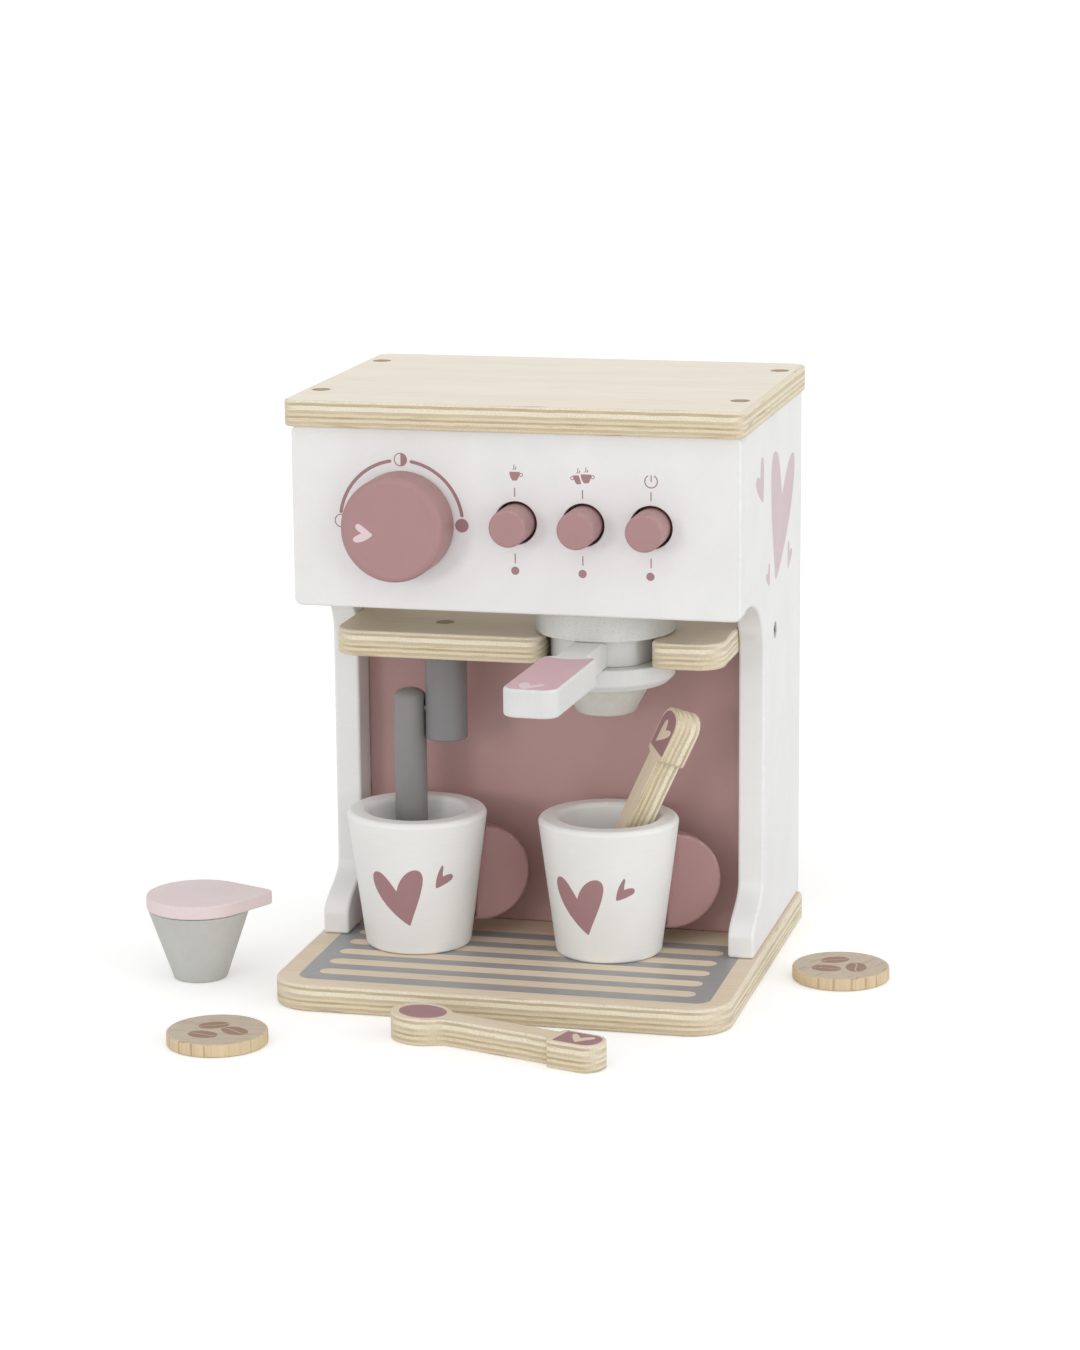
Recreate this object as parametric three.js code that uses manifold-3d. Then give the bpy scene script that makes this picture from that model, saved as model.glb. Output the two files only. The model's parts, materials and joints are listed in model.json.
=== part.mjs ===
// Toy coffee maker of plywood and painted wood, with its cups, spoons, creamer and coffee pads.
// Millimetres, +X right, +Y back, +Z up. The origin is under the middle of the base plate.
import * as THREE from "three";
import { mergeVertices } from "three/addons/utils/BufferGeometryUtils.js";
import Module from "manifold-3d";

const wasm = await Module();
wasm.setup();

// Driving dimensions
const machineHeight = 268;
const housingWidth = 203.2;
const baseDepth = 200;
const baseOverhang = 2.4; // of the base past the housing's sides
const boardThickness = 12; // birch plywood of base, top, shelf and spoons
const wallThickness = 12; // painted board of the sides and the front
const bayHeight = 136.5; // from the base up to the shelf
const panelGap = 14; // from the shelf up to the front panel
const panelReach = 53.1; // front panel's face ahead of the origin
const wallSetback = 1; // the walls' back edges ahead of the base's
const glueLine = 0.1; // between pieces that are glued or screwed flat together
const runningGap = 0.3; // between pieces that move on each other, and round cut seats
const overrun = 2; // of a cutting tool past the face that it leaves

// Levels and places worked out from them
const baseTop = boardThickness;
const topUnderside = machineHeight - boardThickness;
const shelfUnderside = baseTop + bayHeight;
const shelfTop = shelfUnderside + boardThickness;
const baseWidth = housingWidth + 2 * baseOverhang;
const wallBack = baseDepth / 2 - wallSetback;
const panelFace = -panelReach;
const panelBack = panelFace + wallThickness;
const panelBottom = shelfTop + panelGap;
const panelHeight = topUnderside - glueLine - panelBottom;
const wallInside = housingWidth / 2 - wallThickness;
const wallMiddle = housingWidth / 2 - wallThickness / 2;
const insideWidth = 2 * (wallInside - glueLine);

// Counts of facets, which are no lengths
const easedSteps = 1;
const roundedSteps = 2;
const largeSteps = 18;
const cornerSteps = 3;
const turnedSides = 36;
const rodSides = 24;
const smallSides = 16;

const finish = (color, roughness, metalness = 0) =>
  new THREE.MeshStandardMaterial({ color, roughness, metalness });
const plywood = finish(0xe9e1d2, 0.6);
const dowelWood = finish(0xb49a78, 0.7);
const whitePaint = finish(0xe6e6e4, 0.45);
const pinkPaint = finish(0xae898c, 0.5);
const greyPaint = finish(0x858382, 0.5);
const lightGreyPaint = finish(0xd2d3cf, 0.5);
const speckledPaint = finish(0xcdcdc6, 0.6);
const creamerGrey = finish(0xbebeb9, 0.55);
const palePinkPaint = finish(0xdac6c6, 0.5);
const beech = finish(0xbeaa91, 0.65);
const zinc = finish(0xa8a9ab, 0.35, 0.9);

// Sizes that are shares of one length
function sharesOf(length, shares) {
  return Object.fromEntries(Object.entries(shares).map(([name, share]) => [name, share * length]));
}

const machine = new THREE.Group();
const yAxis = new THREE.Vector3(0, 1, 0);
const zAxis = new THREE.Vector3(0, 0, 1);
const xAxis = new THREE.Vector3(1, 0, 0);
const facingFront = new THREE.Matrix4().makeBasis(xAxis, zAxis, yAxis.clone().negate());
const facingRight = new THREE.Matrix4().makeBasis(yAxis, zAxis, xAxis);

function piece(name, geometry, material, place = new THREE.Vector3(), group = machine) {
  const mesh = new THREE.Mesh(geometry, material);
  mesh.name = name;
  mesh.position.copy(place);
  group.add(mesh);
  return mesh;
}

// A closed geometry as a solid that can be joined and cut
function solid(geometry) {
  const bare = geometry.clone();
  bare.deleteAttribute("normal");
  bare.deleteAttribute("uv");
  const merged = mergeVertices(bare);
  const corners = merged.index.array;
  const kept = [];
  for (let i = 0; i < corners.length; i += 3) {
    const [a, b, c] = [corners[i], corners[i + 1], corners[i + 2]];
    if (a !== b && b !== c && c !== a) kept.push(a, b, c);
  }
  const vertProperties = new Float32Array(merged.attributes.position.array);
  return new wasm.Manifold(new wasm.Mesh({ numProp: 3, vertProperties, triVerts: new Uint32Array(kept) }));
}

function geometryOf(body) {
  const mesh = body.getMesh();
  const geometry = new THREE.BufferGeometry();
  geometry.setAttribute("position", new THREE.BufferAttribute(new Float32Array(mesh.vertProperties), 3));
  geometry.setIndex(new THREE.BufferAttribute(new Uint32Array(mesh.triVerts), 1));
  geometry.computeVertexNormals();
  return geometry;
}

// Cuts tools that are given in the machine's frame out of a piece that stands at place
function cut(geometry, tools, place = new THREE.Vector3()) {
  let body = solid(geometry);
  for (const tool of tools) {
    body = body.subtract(solid(tool.clone().translate(-place.x, -place.y, -place.z)));
  }
  return geometryOf(body);
}

function join(geometries) {
  const [first, ...others] = geometries.map(solid);
  return geometryOf(others.reduce((body, other) => body.add(other), first));
}

// A flat board from z = 0 to its thickness, with eased or rounded edges
function board(outline, thickness, edge, edgeSteps = easedSteps) {
  const geometry = new THREE.ExtrudeGeometry(outline, {
    depth: thickness - 2 * edge,
    bevelThickness: edge,
    bevelSize: edge,
    bevelOffset: -edge,
    bevelSegments: edgeSteps,
    curveSegments: cornerSteps,
  });
  return geometry.translate(0, 0, edge);
}

// A turned piece round Z. Its profile of [radius, height] goes up the outside and ends on the axis.
function turned(profile, sides = turnedSides) {
  const points = profile.map(([radius, height]) => new THREE.Vector2(radius, height));
  return new THREE.LatheGeometry(points, sides).rotateX(Math.PI / 2);
}

// Points of an arc round [radius, height] from one angle to another, in degrees
function round(radius, height, size, from, to, steps = 3) {
  return Array.from({ length: steps + 1 }, (_, i) => {
    const angle = THREE.MathUtils.degToRad(from + ((to - from) * i) / steps);
    return [radius + size * Math.cos(angle), height + size * Math.sin(angle)];
  });
}

// Adds a large arc to an outline, with finer facets than its corners have
function addArc(outline, x, y, size, from, to) {
  for (const [pointX, pointY] of round(x, y, size, from, to, largeSteps)) outline.lineTo(pointX, pointY);
}

// A plain rod from z = 0 upwards, with a small chamfer at both ends
function rod(radius, length, chamfer, sides = smallSides) {
  return turned([
    [0, 0],
    [radius - chamfer, 0],
    [radius, chamfer],
    [radius, length - chamfer],
    [radius - chamfer, length],
    [0, length],
  ], sides);
}

function hole(radius, length, sides = smallSides) {
  return turned([[0, 0], [radius, 0], [radius, length], [0, length]], sides);
}

// A rectangle centred on x, from y = 0 back to its depth, with its own radii in front and behind
function roundedOutline(width, depth, frontRadius, backRadius) {
  const half = width / 2;
  const outline = new THREE.Shape();
  outline.moveTo(-half + frontRadius, 0);
  outline.absarc(half - frontRadius, frontRadius, frontRadius, -Math.PI / 2, 0);
  outline.absarc(half - backRadius, depth - backRadius, backRadius, 0, Math.PI / 2);
  outline.absarc(-half + backRadius, depth - backRadius, backRadius, Math.PI / 2, Math.PI);
  outline.absarc(-half + frontRadius, frontRadius, frontRadius, Math.PI, 1.5 * Math.PI);
  return outline;
}

// Countersunk screws, whose heads lie at z = 0 and whose points look up
const screwSizes = { head: 3.8, headDepth: 2.4, shank: 1.9, point: 3 };

function screw(length, grow = 0) {
  const { head, headDepth, shank, point } = screwSizes;
  const mouth = grow > 0 ? [[0, -overrun], [head + grow, -overrun]] : [[0, 0]];
  return turned([
    ...mouth,
    [head + grow, 0],
    [shank + grow, headDepth],
    [shank + grow, length - point + grow],
    [0, length + grow],
  ], smallSides);
}

// Base plate, with the screws that come up through it into the walls
const base = { frontCorner: 19, backCorner: 6, edge: 1.2 };
const baseScrews = { length: 34, recess: 0.8, front: 16, back: 22, fit: 0.15 };
const basePlace = new THREE.Vector3(0, -baseDepth / 2, 0);

function baseScrewPlaces() {
  const places = [baseScrews.front, wallBack - baseScrews.back];
  return [-wallMiddle, wallMiddle].flatMap((x) =>
    places.map((y) => new THREE.Vector3(x, y, baseScrews.recess)));
}

function baseScrewHoles() {
  return baseScrewPlaces().map((at) =>
    screw(baseScrews.length, baseScrews.fit).translate(at.x, at.y, at.z));
}

function basePlate() {
  const outline = roundedOutline(baseWidth, baseDepth, base.frontCorner, base.backCorner);
  return cut(board(outline, boardThickness, base.edge), baseScrewHoles(), basePlace);
}

piece("base_plate", basePlate(), plywood, basePlace);
baseScrewPlaces().forEach((at, i) => piece(`base_screw_${i + 1}`, screw(baseScrews.length), zinc, at));

// Top plate, with four dowels that go down through it into the walls
const top = { sideOverhang: 2.1, frontOverhang: 6.4, backOverhang: 0.5, corner: 6, edge: 1.2 };
const topDowels = { radius: 4.2, length: 36, chamfer: 0.3, front: 28, back: 26, fit: 0.15 };
const topPlace = new THREE.Vector3(0, panelFace - top.frontOverhang, topUnderside);

function topDowelPlaces() {
  const places = [panelFace + topDowels.front, wallBack - topDowels.back];
  return [-wallMiddle, wallMiddle].flatMap((x) =>
    places.map((y) => new THREE.Vector3(x, y, machineHeight - topDowels.length)));
}

function topDowelHoles() {
  const { radius, length, fit } = topDowels;
  return topDowelPlaces().map((at) =>
    hole(radius + fit, length + fit + overrun).translate(at.x, at.y, at.z - fit));
}

function topPlate() {
  const width = housingWidth + 2 * top.sideOverhang;
  const depth = wallBack + top.backOverhang - topPlace.y;
  const outline = roundedOutline(width, depth, top.corner, top.corner);
  return cut(board(outline, boardThickness, top.edge), topDowelHoles(), topPlace);
}

piece("top_plate", topPlate(), plywood, topPlace);
topDowelPlaces().forEach((at, i) => {
  piece(`top_dowel_${i + 1}`, rod(topDowels.radius, topDowels.length, topDowels.chamfer), dowelWood, at);
});

// Side panels: an arch under the housing, a waist beside the bay and a foot that sweeps forward
const sideShares = { waistDepth: 0.671429, footReach: 0.210714, archReach: 0.277143 }; // of the wall's depth
const sideScrews = { length: 38, recess: 0.3, fit: 0.15 };
const shelfFrontSetback = 4.6; // the shelf's front edge behind the front panel
const shelfFront = panelBack + shelfFrontSetback;
const wallHeight = topUnderside - baseTop - 2 * glueLine;
const wallFront = panelBack + glueLine;
const side = {
  ...sharesOf(wallBack - wallFront, sideShares), edge: 2, footHeight: 8, footRise: 38, sweepNear: 19,
  sweepFar: 17, archUnder: 2.4, archRise: 27, lipCorner: 3,
};

// The wall seen from its side: x runs to the back from the wall's front, y runs up from the base
function sideOutline() {
  const back = wallBack - wallFront;
  const waist = back - side.waistDepth;
  const foot = waist - side.footReach;
  const archTop = panelBottom - baseTop - glueLine + side.archUnder;
  const sweepBottom = side.footHeight;
  const sweepTop = sweepBottom + side.footRise;
  const outline = new THREE.Shape();
  outline.moveTo(foot, 0);
  outline.lineTo(back, 0);
  outline.lineTo(back, wallHeight);
  outline.lineTo(0, wallHeight);
  outline.lineTo(0, archTop + side.lipCorner);
  outline.quadraticCurveTo(0, archTop, side.lipCorner, archTop);
  outline.lineTo(waist - side.archReach, archTop);
  outline.absellipse(waist - side.archReach, archTop - side.archRise, side.archReach, side.archRise,
    Math.PI / 2, 0, true);
  outline.lineTo(waist, sweepTop);
  outline.bezierCurveTo(
    waist, sweepTop - side.sweepNear, foot, sweepBottom + side.sweepFar, foot, sweepBottom);
  return outline;
}

function sideScrew(direction, grow = 0) {
  const x = direction * (housingWidth / 2 - sideScrews.recess);
  return screw(sideScrews.length, grow)
    .rotateY((-direction * Math.PI) / 2)
    .translate(x, (shelfFront + wallBack) / 2, (shelfUnderside + shelfTop) / 2);
}

function sidePanel(direction) {
  const place = new THREE.Vector3(0, wallFront, baseTop + glueLine);
  const geometry = board(sideOutline(), wallThickness, side.edge, roundedSteps).applyMatrix4(facingRight);
  const left = direction > 0 ? wallInside : -housingWidth / 2;
  geometry.translate(left, 0, 0);
  const tools = [...baseScrewHoles(), ...topDowelHoles(), sideScrew(direction, sideScrews.fit)];
  return [cut(geometry, tools, place), place];
}

for (const [name, direction] of [["left", -1], ["right", 1]]) {
  const [geometry, place] = sidePanel(direction);
  piece(`${name}_side_panel`, geometry, whitePaint, place);
  piece(`${name}_side_screw`, sideScrew(direction), zinc);
}

// Portafilter, whose neck sits in the shelf's notch
const acrossShares = {
  portafilter: 0.15748, wand: -0.214075, dial: -0.24852, buttons: 0.003937, pitch: 0.149606,
};
const across = sharesOf(housingWidth, acrossShares);
const portafilter = {
  x: across.portafilter, notchReach: 24.5, neckRadius: 25, neckFlat: 22.8, flatTurn: 18, restTurn: -2,
};
const portafilterY = shelfFront + portafilter.notchReach;
const notchRadius = portafilter.neckRadius + runningGap + glueLine;

// Shelf: plywood board through the whole depth, notched in front for the portafilter
const shelf = { frontCorner: 12, backCorner: 2, edge: 1.2, mouthCorner: 6 };
const shelfPlace = new THREE.Vector3(0, shelfFront, shelfUnderside);
const wand = { x: across.wand, setback: 26.5, postClearance: 94 };
const wandY = shelfFront + wand.setback;
const postLength = bayHeight - glueLine - wand.postClearance;
const postShares = { dowel: 0.424528, pivot: 0.330189 };
const wandDowel = {
  radius: 4.2, depth: boardThickness + postShares.dowel * postLength, chamfer: 0.3, fit: 0.15,
};

function shelfOutline() {
  const half = insideWidth / 2;
  const depth = wallBack - shelfFront;
  const { frontCorner, backCorner, mouthCorner } = shelf;
  const left = portafilter.x - notchRadius;
  const right = portafilter.x + notchRadius;
  const outline = new THREE.Shape();
  outline.moveTo(-half + frontCorner, 0);
  outline.absarc(left - mouthCorner, mouthCorner, mouthCorner, -Math.PI / 2, 0);
  addArc(outline, portafilter.x, portafilter.notchReach, notchRadius, 180, 0);
  outline.absarc(right + mouthCorner, mouthCorner, mouthCorner, Math.PI, 1.5 * Math.PI);
  outline.absarc(half - frontCorner, frontCorner, frontCorner, -Math.PI / 2, 0);
  outline.absarc(half - backCorner, depth - backCorner, backCorner, 0, Math.PI / 2);
  outline.absarc(-half + backCorner, depth - backCorner, backCorner, Math.PI / 2, Math.PI);
  outline.absarc(-half + frontCorner, frontCorner, frontCorner, Math.PI, 1.5 * Math.PI);
  return outline;
}

function wandDowelHole() {
  const length = wandDowel.depth + wandDowel.fit + overrun;
  return hole(wandDowel.radius + wandDowel.fit, length)
    .translate(wand.x, wandY, shelfTop - wandDowel.depth - wandDowel.fit);
}

function shelfBoard() {
  const tools = [wandDowelHole(), sideScrew(-1, sideScrews.fit), sideScrew(1, sideScrews.fit)];
  return cut(board(shelfOutline(), boardThickness, shelf.edge), tools, shelfPlace);
}

piece("shelf", shelfBoard(), plywood, shelfPlace);
piece("wand_dowel", rod(wandDowel.radius, wandDowel.depth, wandDowel.chamfer), dowelWood,
  new THREE.Vector3(wand.x, wandY, shelfTop - wandDowel.depth));

// Back panel of the bay, just behind the portafilter's ring
const backPanel = { behindRing: 1.7, thickness: 9, edge: 0.8, corner: 1.5 };
const lowerRing = { radius: 31.3, height: 10.4, chamfer: 3, chamferHeight: 3, top: 0.8 };

function baySheet() {
  const height = bayHeight - 2 * glueLine;
  const outline = roundedOutline(insideWidth, height, backPanel.corner, backPanel.corner);
  return board(outline, backPanel.thickness, backPanel.edge).applyMatrix4(facingFront);
}

const backPanelY = portafilterY + lowerRing.radius + backPanel.behindRing + backPanel.thickness;
piece("back_panel", baySheet(), pinkPaint, new THREE.Vector3(0, backPanelY, baseTop + glueLine));

// Dial: a turned knob on an axle through the front panel, held by a disc and a screw behind it
const dialShares = { rise: 0.479115, radius: 0.288698 };
const dial = {
  x: across.dial, ...sharesOf(panelHeight, dialShares), depth: 19.5, round: 4, back: 0.8, seat: 10,
};
const dialAxle = { radius: 5, chamfer: 0.4, fit: 0.15 };
const dialRetainer = { radius: 11, thickness: 5, chamfer: 0.8 };
const dialScrewLength = 14;
const dialZ = panelBottom + dial.rise;

// Push buttons: a cap in the front panel, a flange behind it, and a stem in the rail
const buttonShares = { rise: 0.501229 };
const buttons = {
  x: across.buttons, pitch: across.pitch, ...sharesOf(panelHeight, buttonShares),
  radius: 8.4, reach: 15.5, chamfer: 1.2, bore: 9.6, flange: 12, flangeThickness: 4, travel: 5,
  shoulder: 4.8, stem: 3.2, stemFit: 0.35, stemPast: 6,
};
const buttonNames = ["left_button", "middle_button", "right_button"];
const buttonZ = panelBottom + buttons.rise;
const buttonX = (i) => buttons.x + i * buttons.pitch;

// Front panel: covers the side panels' front edges
const panel = { edge: 2.2, corner: 3.5 };

function frontPanel() {
  const outline = roundedOutline(housingWidth, panelHeight, panel.corner, panel.corner);
  const geometry = board(outline, wallThickness, panel.edge, roundedSteps).applyMatrix4(facingFront);
  const place = new THREE.Vector3(0, panelBack, panelBottom);
  const through = wallThickness + 2 * overrun;
  const bore = (radius, x, z, sides) => hole(radius, through, sides)
    .applyMatrix4(facingFront).translate(x, panelBack + overrun, z);
  const tools = buttonNames.map((_, i) => bore(buttons.bore, buttonX(i), buttonZ, turnedSides));
  tools.push(bore(dialAxle.radius + runningGap, dial.x, dialZ, turnedSides));
  return piece("front_panel", cut(geometry, tools, place), whitePaint, place);
}

frontPanel();

// The dial's frame: z points out of the panel and is 0 at its face
const dialGroup = new THREE.Group();
dialGroup.position.set(dial.x, panelFace, dialZ);
dialGroup.rotation.x = Math.PI / 2;
machine.add(dialGroup);

function dialKnob() {
  const { radius, depth, round: edge, back, seat } = dial;
  const bore = dialAxle.radius + dialAxle.fit;
  return turned([
    [0, seat + dialAxle.fit],
    [bore, seat + dialAxle.fit],
    [bore, 0],
    [radius - back, 0],
    [radius, back],
    ...round(radius - edge, depth - edge, edge, 0, 90),
    [0, depth],
  ]);
}

const behindPanel = wallThickness + 2 * runningGap; // from the knob's back to the retainer
piece("dial_knob", dialKnob(), pinkPaint, new THREE.Vector3(0, 0, runningGap), dialGroup);

function dialPin() {
  const length = dial.seat + behindPanel - glueLine;
  const bore = screw(dialScrewLength, dialAxle.fit).translate(0, 0, -dialRetainer.thickness - glueLine);
  return cut(rod(dialAxle.radius, length, dialAxle.chamfer, turnedSides), [bore]);
}

function dialDisc() {
  const disc = rod(dialRetainer.radius, dialRetainer.thickness, dialRetainer.chamfer, turnedSides);
  return cut(disc, [screw(dialScrewLength, dialAxle.fit)]);
}

const axleBack = runningGap - behindPanel + glueLine;
const discBack = runningGap - behindPanel - dialRetainer.thickness;
piece("dial_axle", dialPin(), dowelWood, new THREE.Vector3(0, 0, axleBack), dialGroup);
piece("dial_retainer", dialDisc(), dowelWood, new THREE.Vector3(0, 0, discBack), dialGroup);
piece("dial_screw", screw(dialScrewLength), zinc, new THREE.Vector3(0, 0, discBack), dialGroup);

// Rail behind the buttons: guides the stems and backs the springs
const railShares = { below: 0.233415, above: 0.233415 };
const rail = { setback: 25, thickness: 10, ...sharesOf(panelHeight, railShares), corner: 2, edge: 1 };
const railFront = panelBack + rail.setback;

function buttonRail() {
  const height = rail.below + rail.above;
  const place = new THREE.Vector3(0, railFront + rail.thickness, buttonZ - rail.below);
  const outline = roundedOutline(insideWidth, height, rail.corner, rail.corner);
  const geometry = board(outline, rail.thickness, rail.edge).applyMatrix4(facingFront);
  const length = rail.thickness + 2 * overrun;
  const bores = buttonNames.map((_, i) => hole(buttons.stem + buttons.stemFit, length)
    .applyMatrix4(facingFront).translate(buttonX(i), place.y + overrun, buttonZ));
  piece("button_rail", cut(geometry, bores, place), plywood, place);
}

buttonRail();

// In a button's frame z points out of the panel and is 0 at its face
function buttonBody() {
  const { radius, reach, chamfer, flange, flangeThickness, travel, shoulder, stem, stemPast } = buttons;
  const flangeFront = -wallThickness - runningGap;
  const flangeBack = flangeFront - flangeThickness;
  const railFace = -wallThickness - rail.setback;
  return turned([
    [0, railFace - stemPast],
    [stem, railFace - stemPast],
    [stem, railFace + travel],
    [shoulder, railFace + travel],
    [shoulder, flangeBack],
    [flange, flangeBack],
    [flange, flangeFront],
    [radius, flangeFront],
    [radius, reach - chamfer],
    [radius - chamfer, reach],
    [0, reach],
  ], rodSides);
}

// A coil spring from z = 0 upwards, as one tube whose section turns round the axis
const spring = { radius: 6.6, wire: 0.6, curls: 6, steps: 8, sides: 5, seat: 0.2 };

function coil(length) {
  const { radius, wire, curls, steps, sides } = spring;
  const rings = curls * steps;
  const rise = (length - 2 * wire) / rings;
  const positions = [];
  for (let i = 0; i <= rings; i++) {
    const turn = (2 * Math.PI * i) / steps;
    for (let j = 0; j < sides; j++) {
      const angle = (2 * Math.PI * j) / sides;
      const out = radius + wire * Math.cos(angle);
      positions.push(out * Math.cos(turn), out * Math.sin(turn), wire + i * rise + wire * Math.sin(angle));
    }
  }
  const index = [];
  for (let i = 0; i < rings; i++) {
    for (let j = 0; j < sides; j++) {
      const [a, b] = [i * sides + j, i * sides + ((j + 1) % sides)];
      index.push(a, a + sides, b, b, a + sides, b + sides);
    }
  }
  for (let j = 1; j < sides - 1; j++) {
    index.push(0, j, j + 1);
    index.push(rings * sides, rings * sides + j + 1, rings * sides + j);
  }
  const geometry = new THREE.BufferGeometry();
  geometry.setAttribute("position", new THREE.Float32BufferAttribute(positions, 3));
  geometry.setIndex(index);
  geometry.computeVertexNormals();
  return geometry;
}

for (const [i, name] of buttonNames.entries()) {
  const group = new THREE.Group();
  group.position.set(buttonX(i), panelFace, buttonZ);
  group.rotation.x = Math.PI / 2;
  machine.add(group);
  piece(name, buttonBody(), pinkPaint, undefined, group);
  const room = rail.setback - runningGap - buttons.flangeThickness - 2 * spring.seat;
  const start = -wallThickness - rail.setback + spring.seat;
  piece(`${name}_spring`, coil(room), zinc, new THREE.Vector3(0, 0, start), group);
}
const curlGap = (rail.setback - runningGap - buttons.flangeThickness - 2 * spring.seat - 2 * spring.wire)
  / spring.curls - 2 * spring.wire;
console.log(`least gap between the springs' curls: ${curlGap.toFixed(2)} mm`);

// Portafilter: filter cup above the shelf, handle plate in the notch, ring and spout cone below.
// Its frame stands on the shelf's underside level, at the middle of the notch.
const filterCup = { radius: 31.5, height: 12.5, edge: 1, rim: 1.2, recess: 23.2, recessDepth: 7 };
const handle = {
  barHalf: 7.2, gripHalf: 12.3, gripStart: 60, gripEnd: 129, shoulder: 5, endCorner: 7, edge: 1.3,
};
const spout = { top: 20.9, bottom: 13.1, height: 14.7, round: 2 };

const portafilterGroup = new THREE.Group();
portafilterGroup.position.set(portafilter.x, portafilterY, shelfUnderside);
portafilterGroup.rotation.z = THREE.MathUtils.degToRad(portafilter.restTurn);
machine.add(portafilterGroup);
const plateDrop = runningGap - glueLine; // how far the handle plate stands past the shelf's faces
const plateThickness = boardThickness + 2 * plateDrop;

// The grip seen from above, pointing to the front, with its bar running back to the neck
function gripOutline() {
  const { barHalf, gripHalf, gripStart, gripEnd, shoulder, endCorner } = handle;
  const outline = new THREE.Shape();
  outline.moveTo(barHalf, 0);
  outline.lineTo(-barHalf, 0);
  outline.lineTo(-barHalf, -gripStart);
  outline.lineTo(-gripHalf + shoulder, -gripStart);
  outline.absarc(-gripHalf + shoulder, -gripStart - shoulder, shoulder, Math.PI / 2, Math.PI);
  outline.absarc(-gripHalf + endCorner, -gripEnd + endCorner, endCorner, Math.PI, 1.5 * Math.PI);
  outline.absarc(gripHalf - endCorner, -gripEnd + endCorner, endCorner, -Math.PI / 2, 0);
  outline.absarc(gripHalf - shoulder, -gripStart - shoulder, shoulder, 0, Math.PI / 2);
  outline.lineTo(barHalf, -gripStart);
  return outline;
}

// The round neck, with a flat on its right
function neck() {
  const { neckRadius, neckFlat, flatTurn } = portafilter;
  const size = 2 * neckRadius + overrun;
  const flat = new THREE.BoxGeometry(size, size, plateThickness + overrun);
  flat.translate(neckFlat + size / 2, 0, plateThickness / 2).rotateZ(THREE.MathUtils.degToRad(-flatTurn));
  return cut(hole(neckRadius, plateThickness, turnedSides), [flat]);
}

function handlePlate() {
  return join([neck(), board(gripOutline(), plateThickness, handle.edge)]);
}

function cupDisc() {
  const { radius, height, edge, rim, recess, recessDepth } = filterCup;
  return turned([
    [0, 0],
    [radius - edge, 0],
    [radius, edge],
    [radius, height - rim],
    [radius - rim, height],
    [recess, height],
    [recess, height - recessDepth],
    [0, height - recessDepth],
  ]);
}

function ringDisc() {
  const { radius, height, chamfer, chamferHeight, top: topEdge } = lowerRing;
  return turned([
    [0, 0],
    [radius - chamfer, 0],
    [radius, chamferHeight],
    [radius, height - topEdge],
    [radius - topEdge, height],
    [0, height],
  ]);
}

function spoutCone() {
  const { top: wide, bottom, height, round: edge } = spout;
  return turned([[0, 0], ...round(bottom - edge, edge, edge, -90, -25, 2), [wide, height], [0, height]]);
}

const plateTop = boardThickness + plateDrop;
const ringBottom = -plateDrop - glueLine - lowerRing.height;
const above = (z) => new THREE.Vector3(0, 0, z);
piece("filter_cup", cupDisc(), speckledPaint, above(plateTop + glueLine), portafilterGroup);
piece("handle_plate", handlePlate(), lightGreyPaint, above(-plateDrop), portafilterGroup);
piece("lower_ring", ringDisc(), lightGreyPaint, above(ringBottom), portafilterGroup);
piece("spout_cone", spoutCone(), creamerGrey, above(ringBottom - glueLine - spout.height), portafilterGroup);

// Steam wand: a post under the shelf and an arm that swings beside it on a pin
const wandShares = { post: 0.047244, arm: 0.036417, armClearance: 0.255906 };
const wandSizes = sharesOf(housingWidth, wandShares);
const wandPost = { radius: wandSizes.post, length: postLength, edge: 1.5, pinBore: 9 };
const postBottom = baseTop + wand.postClearance;
const pivotZ = postBottom + postShares.pivot * postLength;
const wandArm = {
  radius: wandSizes.arm, reach: pivotZ - baseTop - wandSizes.armClearance, foot: 2.5, shoulder: 5, dome: 4.1,
};
const wandPin = { radius: 2, head: 3.4, headDepth: 2, sink: 1.2, fit: 0.15 };
const armX = wand.x - wandPost.radius - runningGap - wandArm.radius;

// The pin lies along x: its head is sunk in the arm's outer side and its end is fast in the post
function pinShape(grow, mouth) {
  const { radius, head, headDepth } = wandPin;
  const start = armX - wandArm.radius + wandPin.sink;
  const length = wand.x - wandPost.radius + wandPost.pinBore - start;
  const geometry = turned([
    [0, -mouth],
    [head + grow, -mouth],
    [head + grow, headDepth + grow],
    [radius + grow, headDepth + grow],
    [radius + grow, length + grow],
    [0, length + grow],
  ], smallSides);
  return geometry.rotateY(Math.PI / 2).translate(start, wandY, pivotZ);
}

function postRod() {
  const { radius, length, edge } = wandPost;
  const place = new THREE.Vector3(wand.x, wandY, postBottom);
  const bottom = round(radius - edge, edge, edge, -90, 0, 2);
  const geometry = turned([[0, 0], ...bottom, [radius, length], [0, length]], rodSides);
  return cut(geometry, [wandDowelHole(), pinShape(wandPin.fit, 0)], place);
}

function armRod() {
  const { radius, reach, foot, shoulder, dome } = wandArm;
  const place = new THREE.Vector3(armX, wandY, pivotZ);
  const geometry = turned([
    [0, -reach],
    ...round(radius - foot, foot - reach, foot, -90, 0, 3),
    ...round(0, 0, radius, 0, 72, 4).map(([out, up]) => [out, shoulder + (dome * up) / radius]),
    [0, shoulder + dome],
  ], rodSides);
  return cut(geometry, [pinShape(runningGap, overrun)], place);
}

piece("wand_post", postRod(), greyPaint, new THREE.Vector3(wand.x, wandY, postBottom));
piece("wand_arm", armRod(), greyPaint, new THREE.Vector3(armX, wandY, pivotZ));
piece("wand_pin", pinShape(0, 0), zinc);

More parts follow.
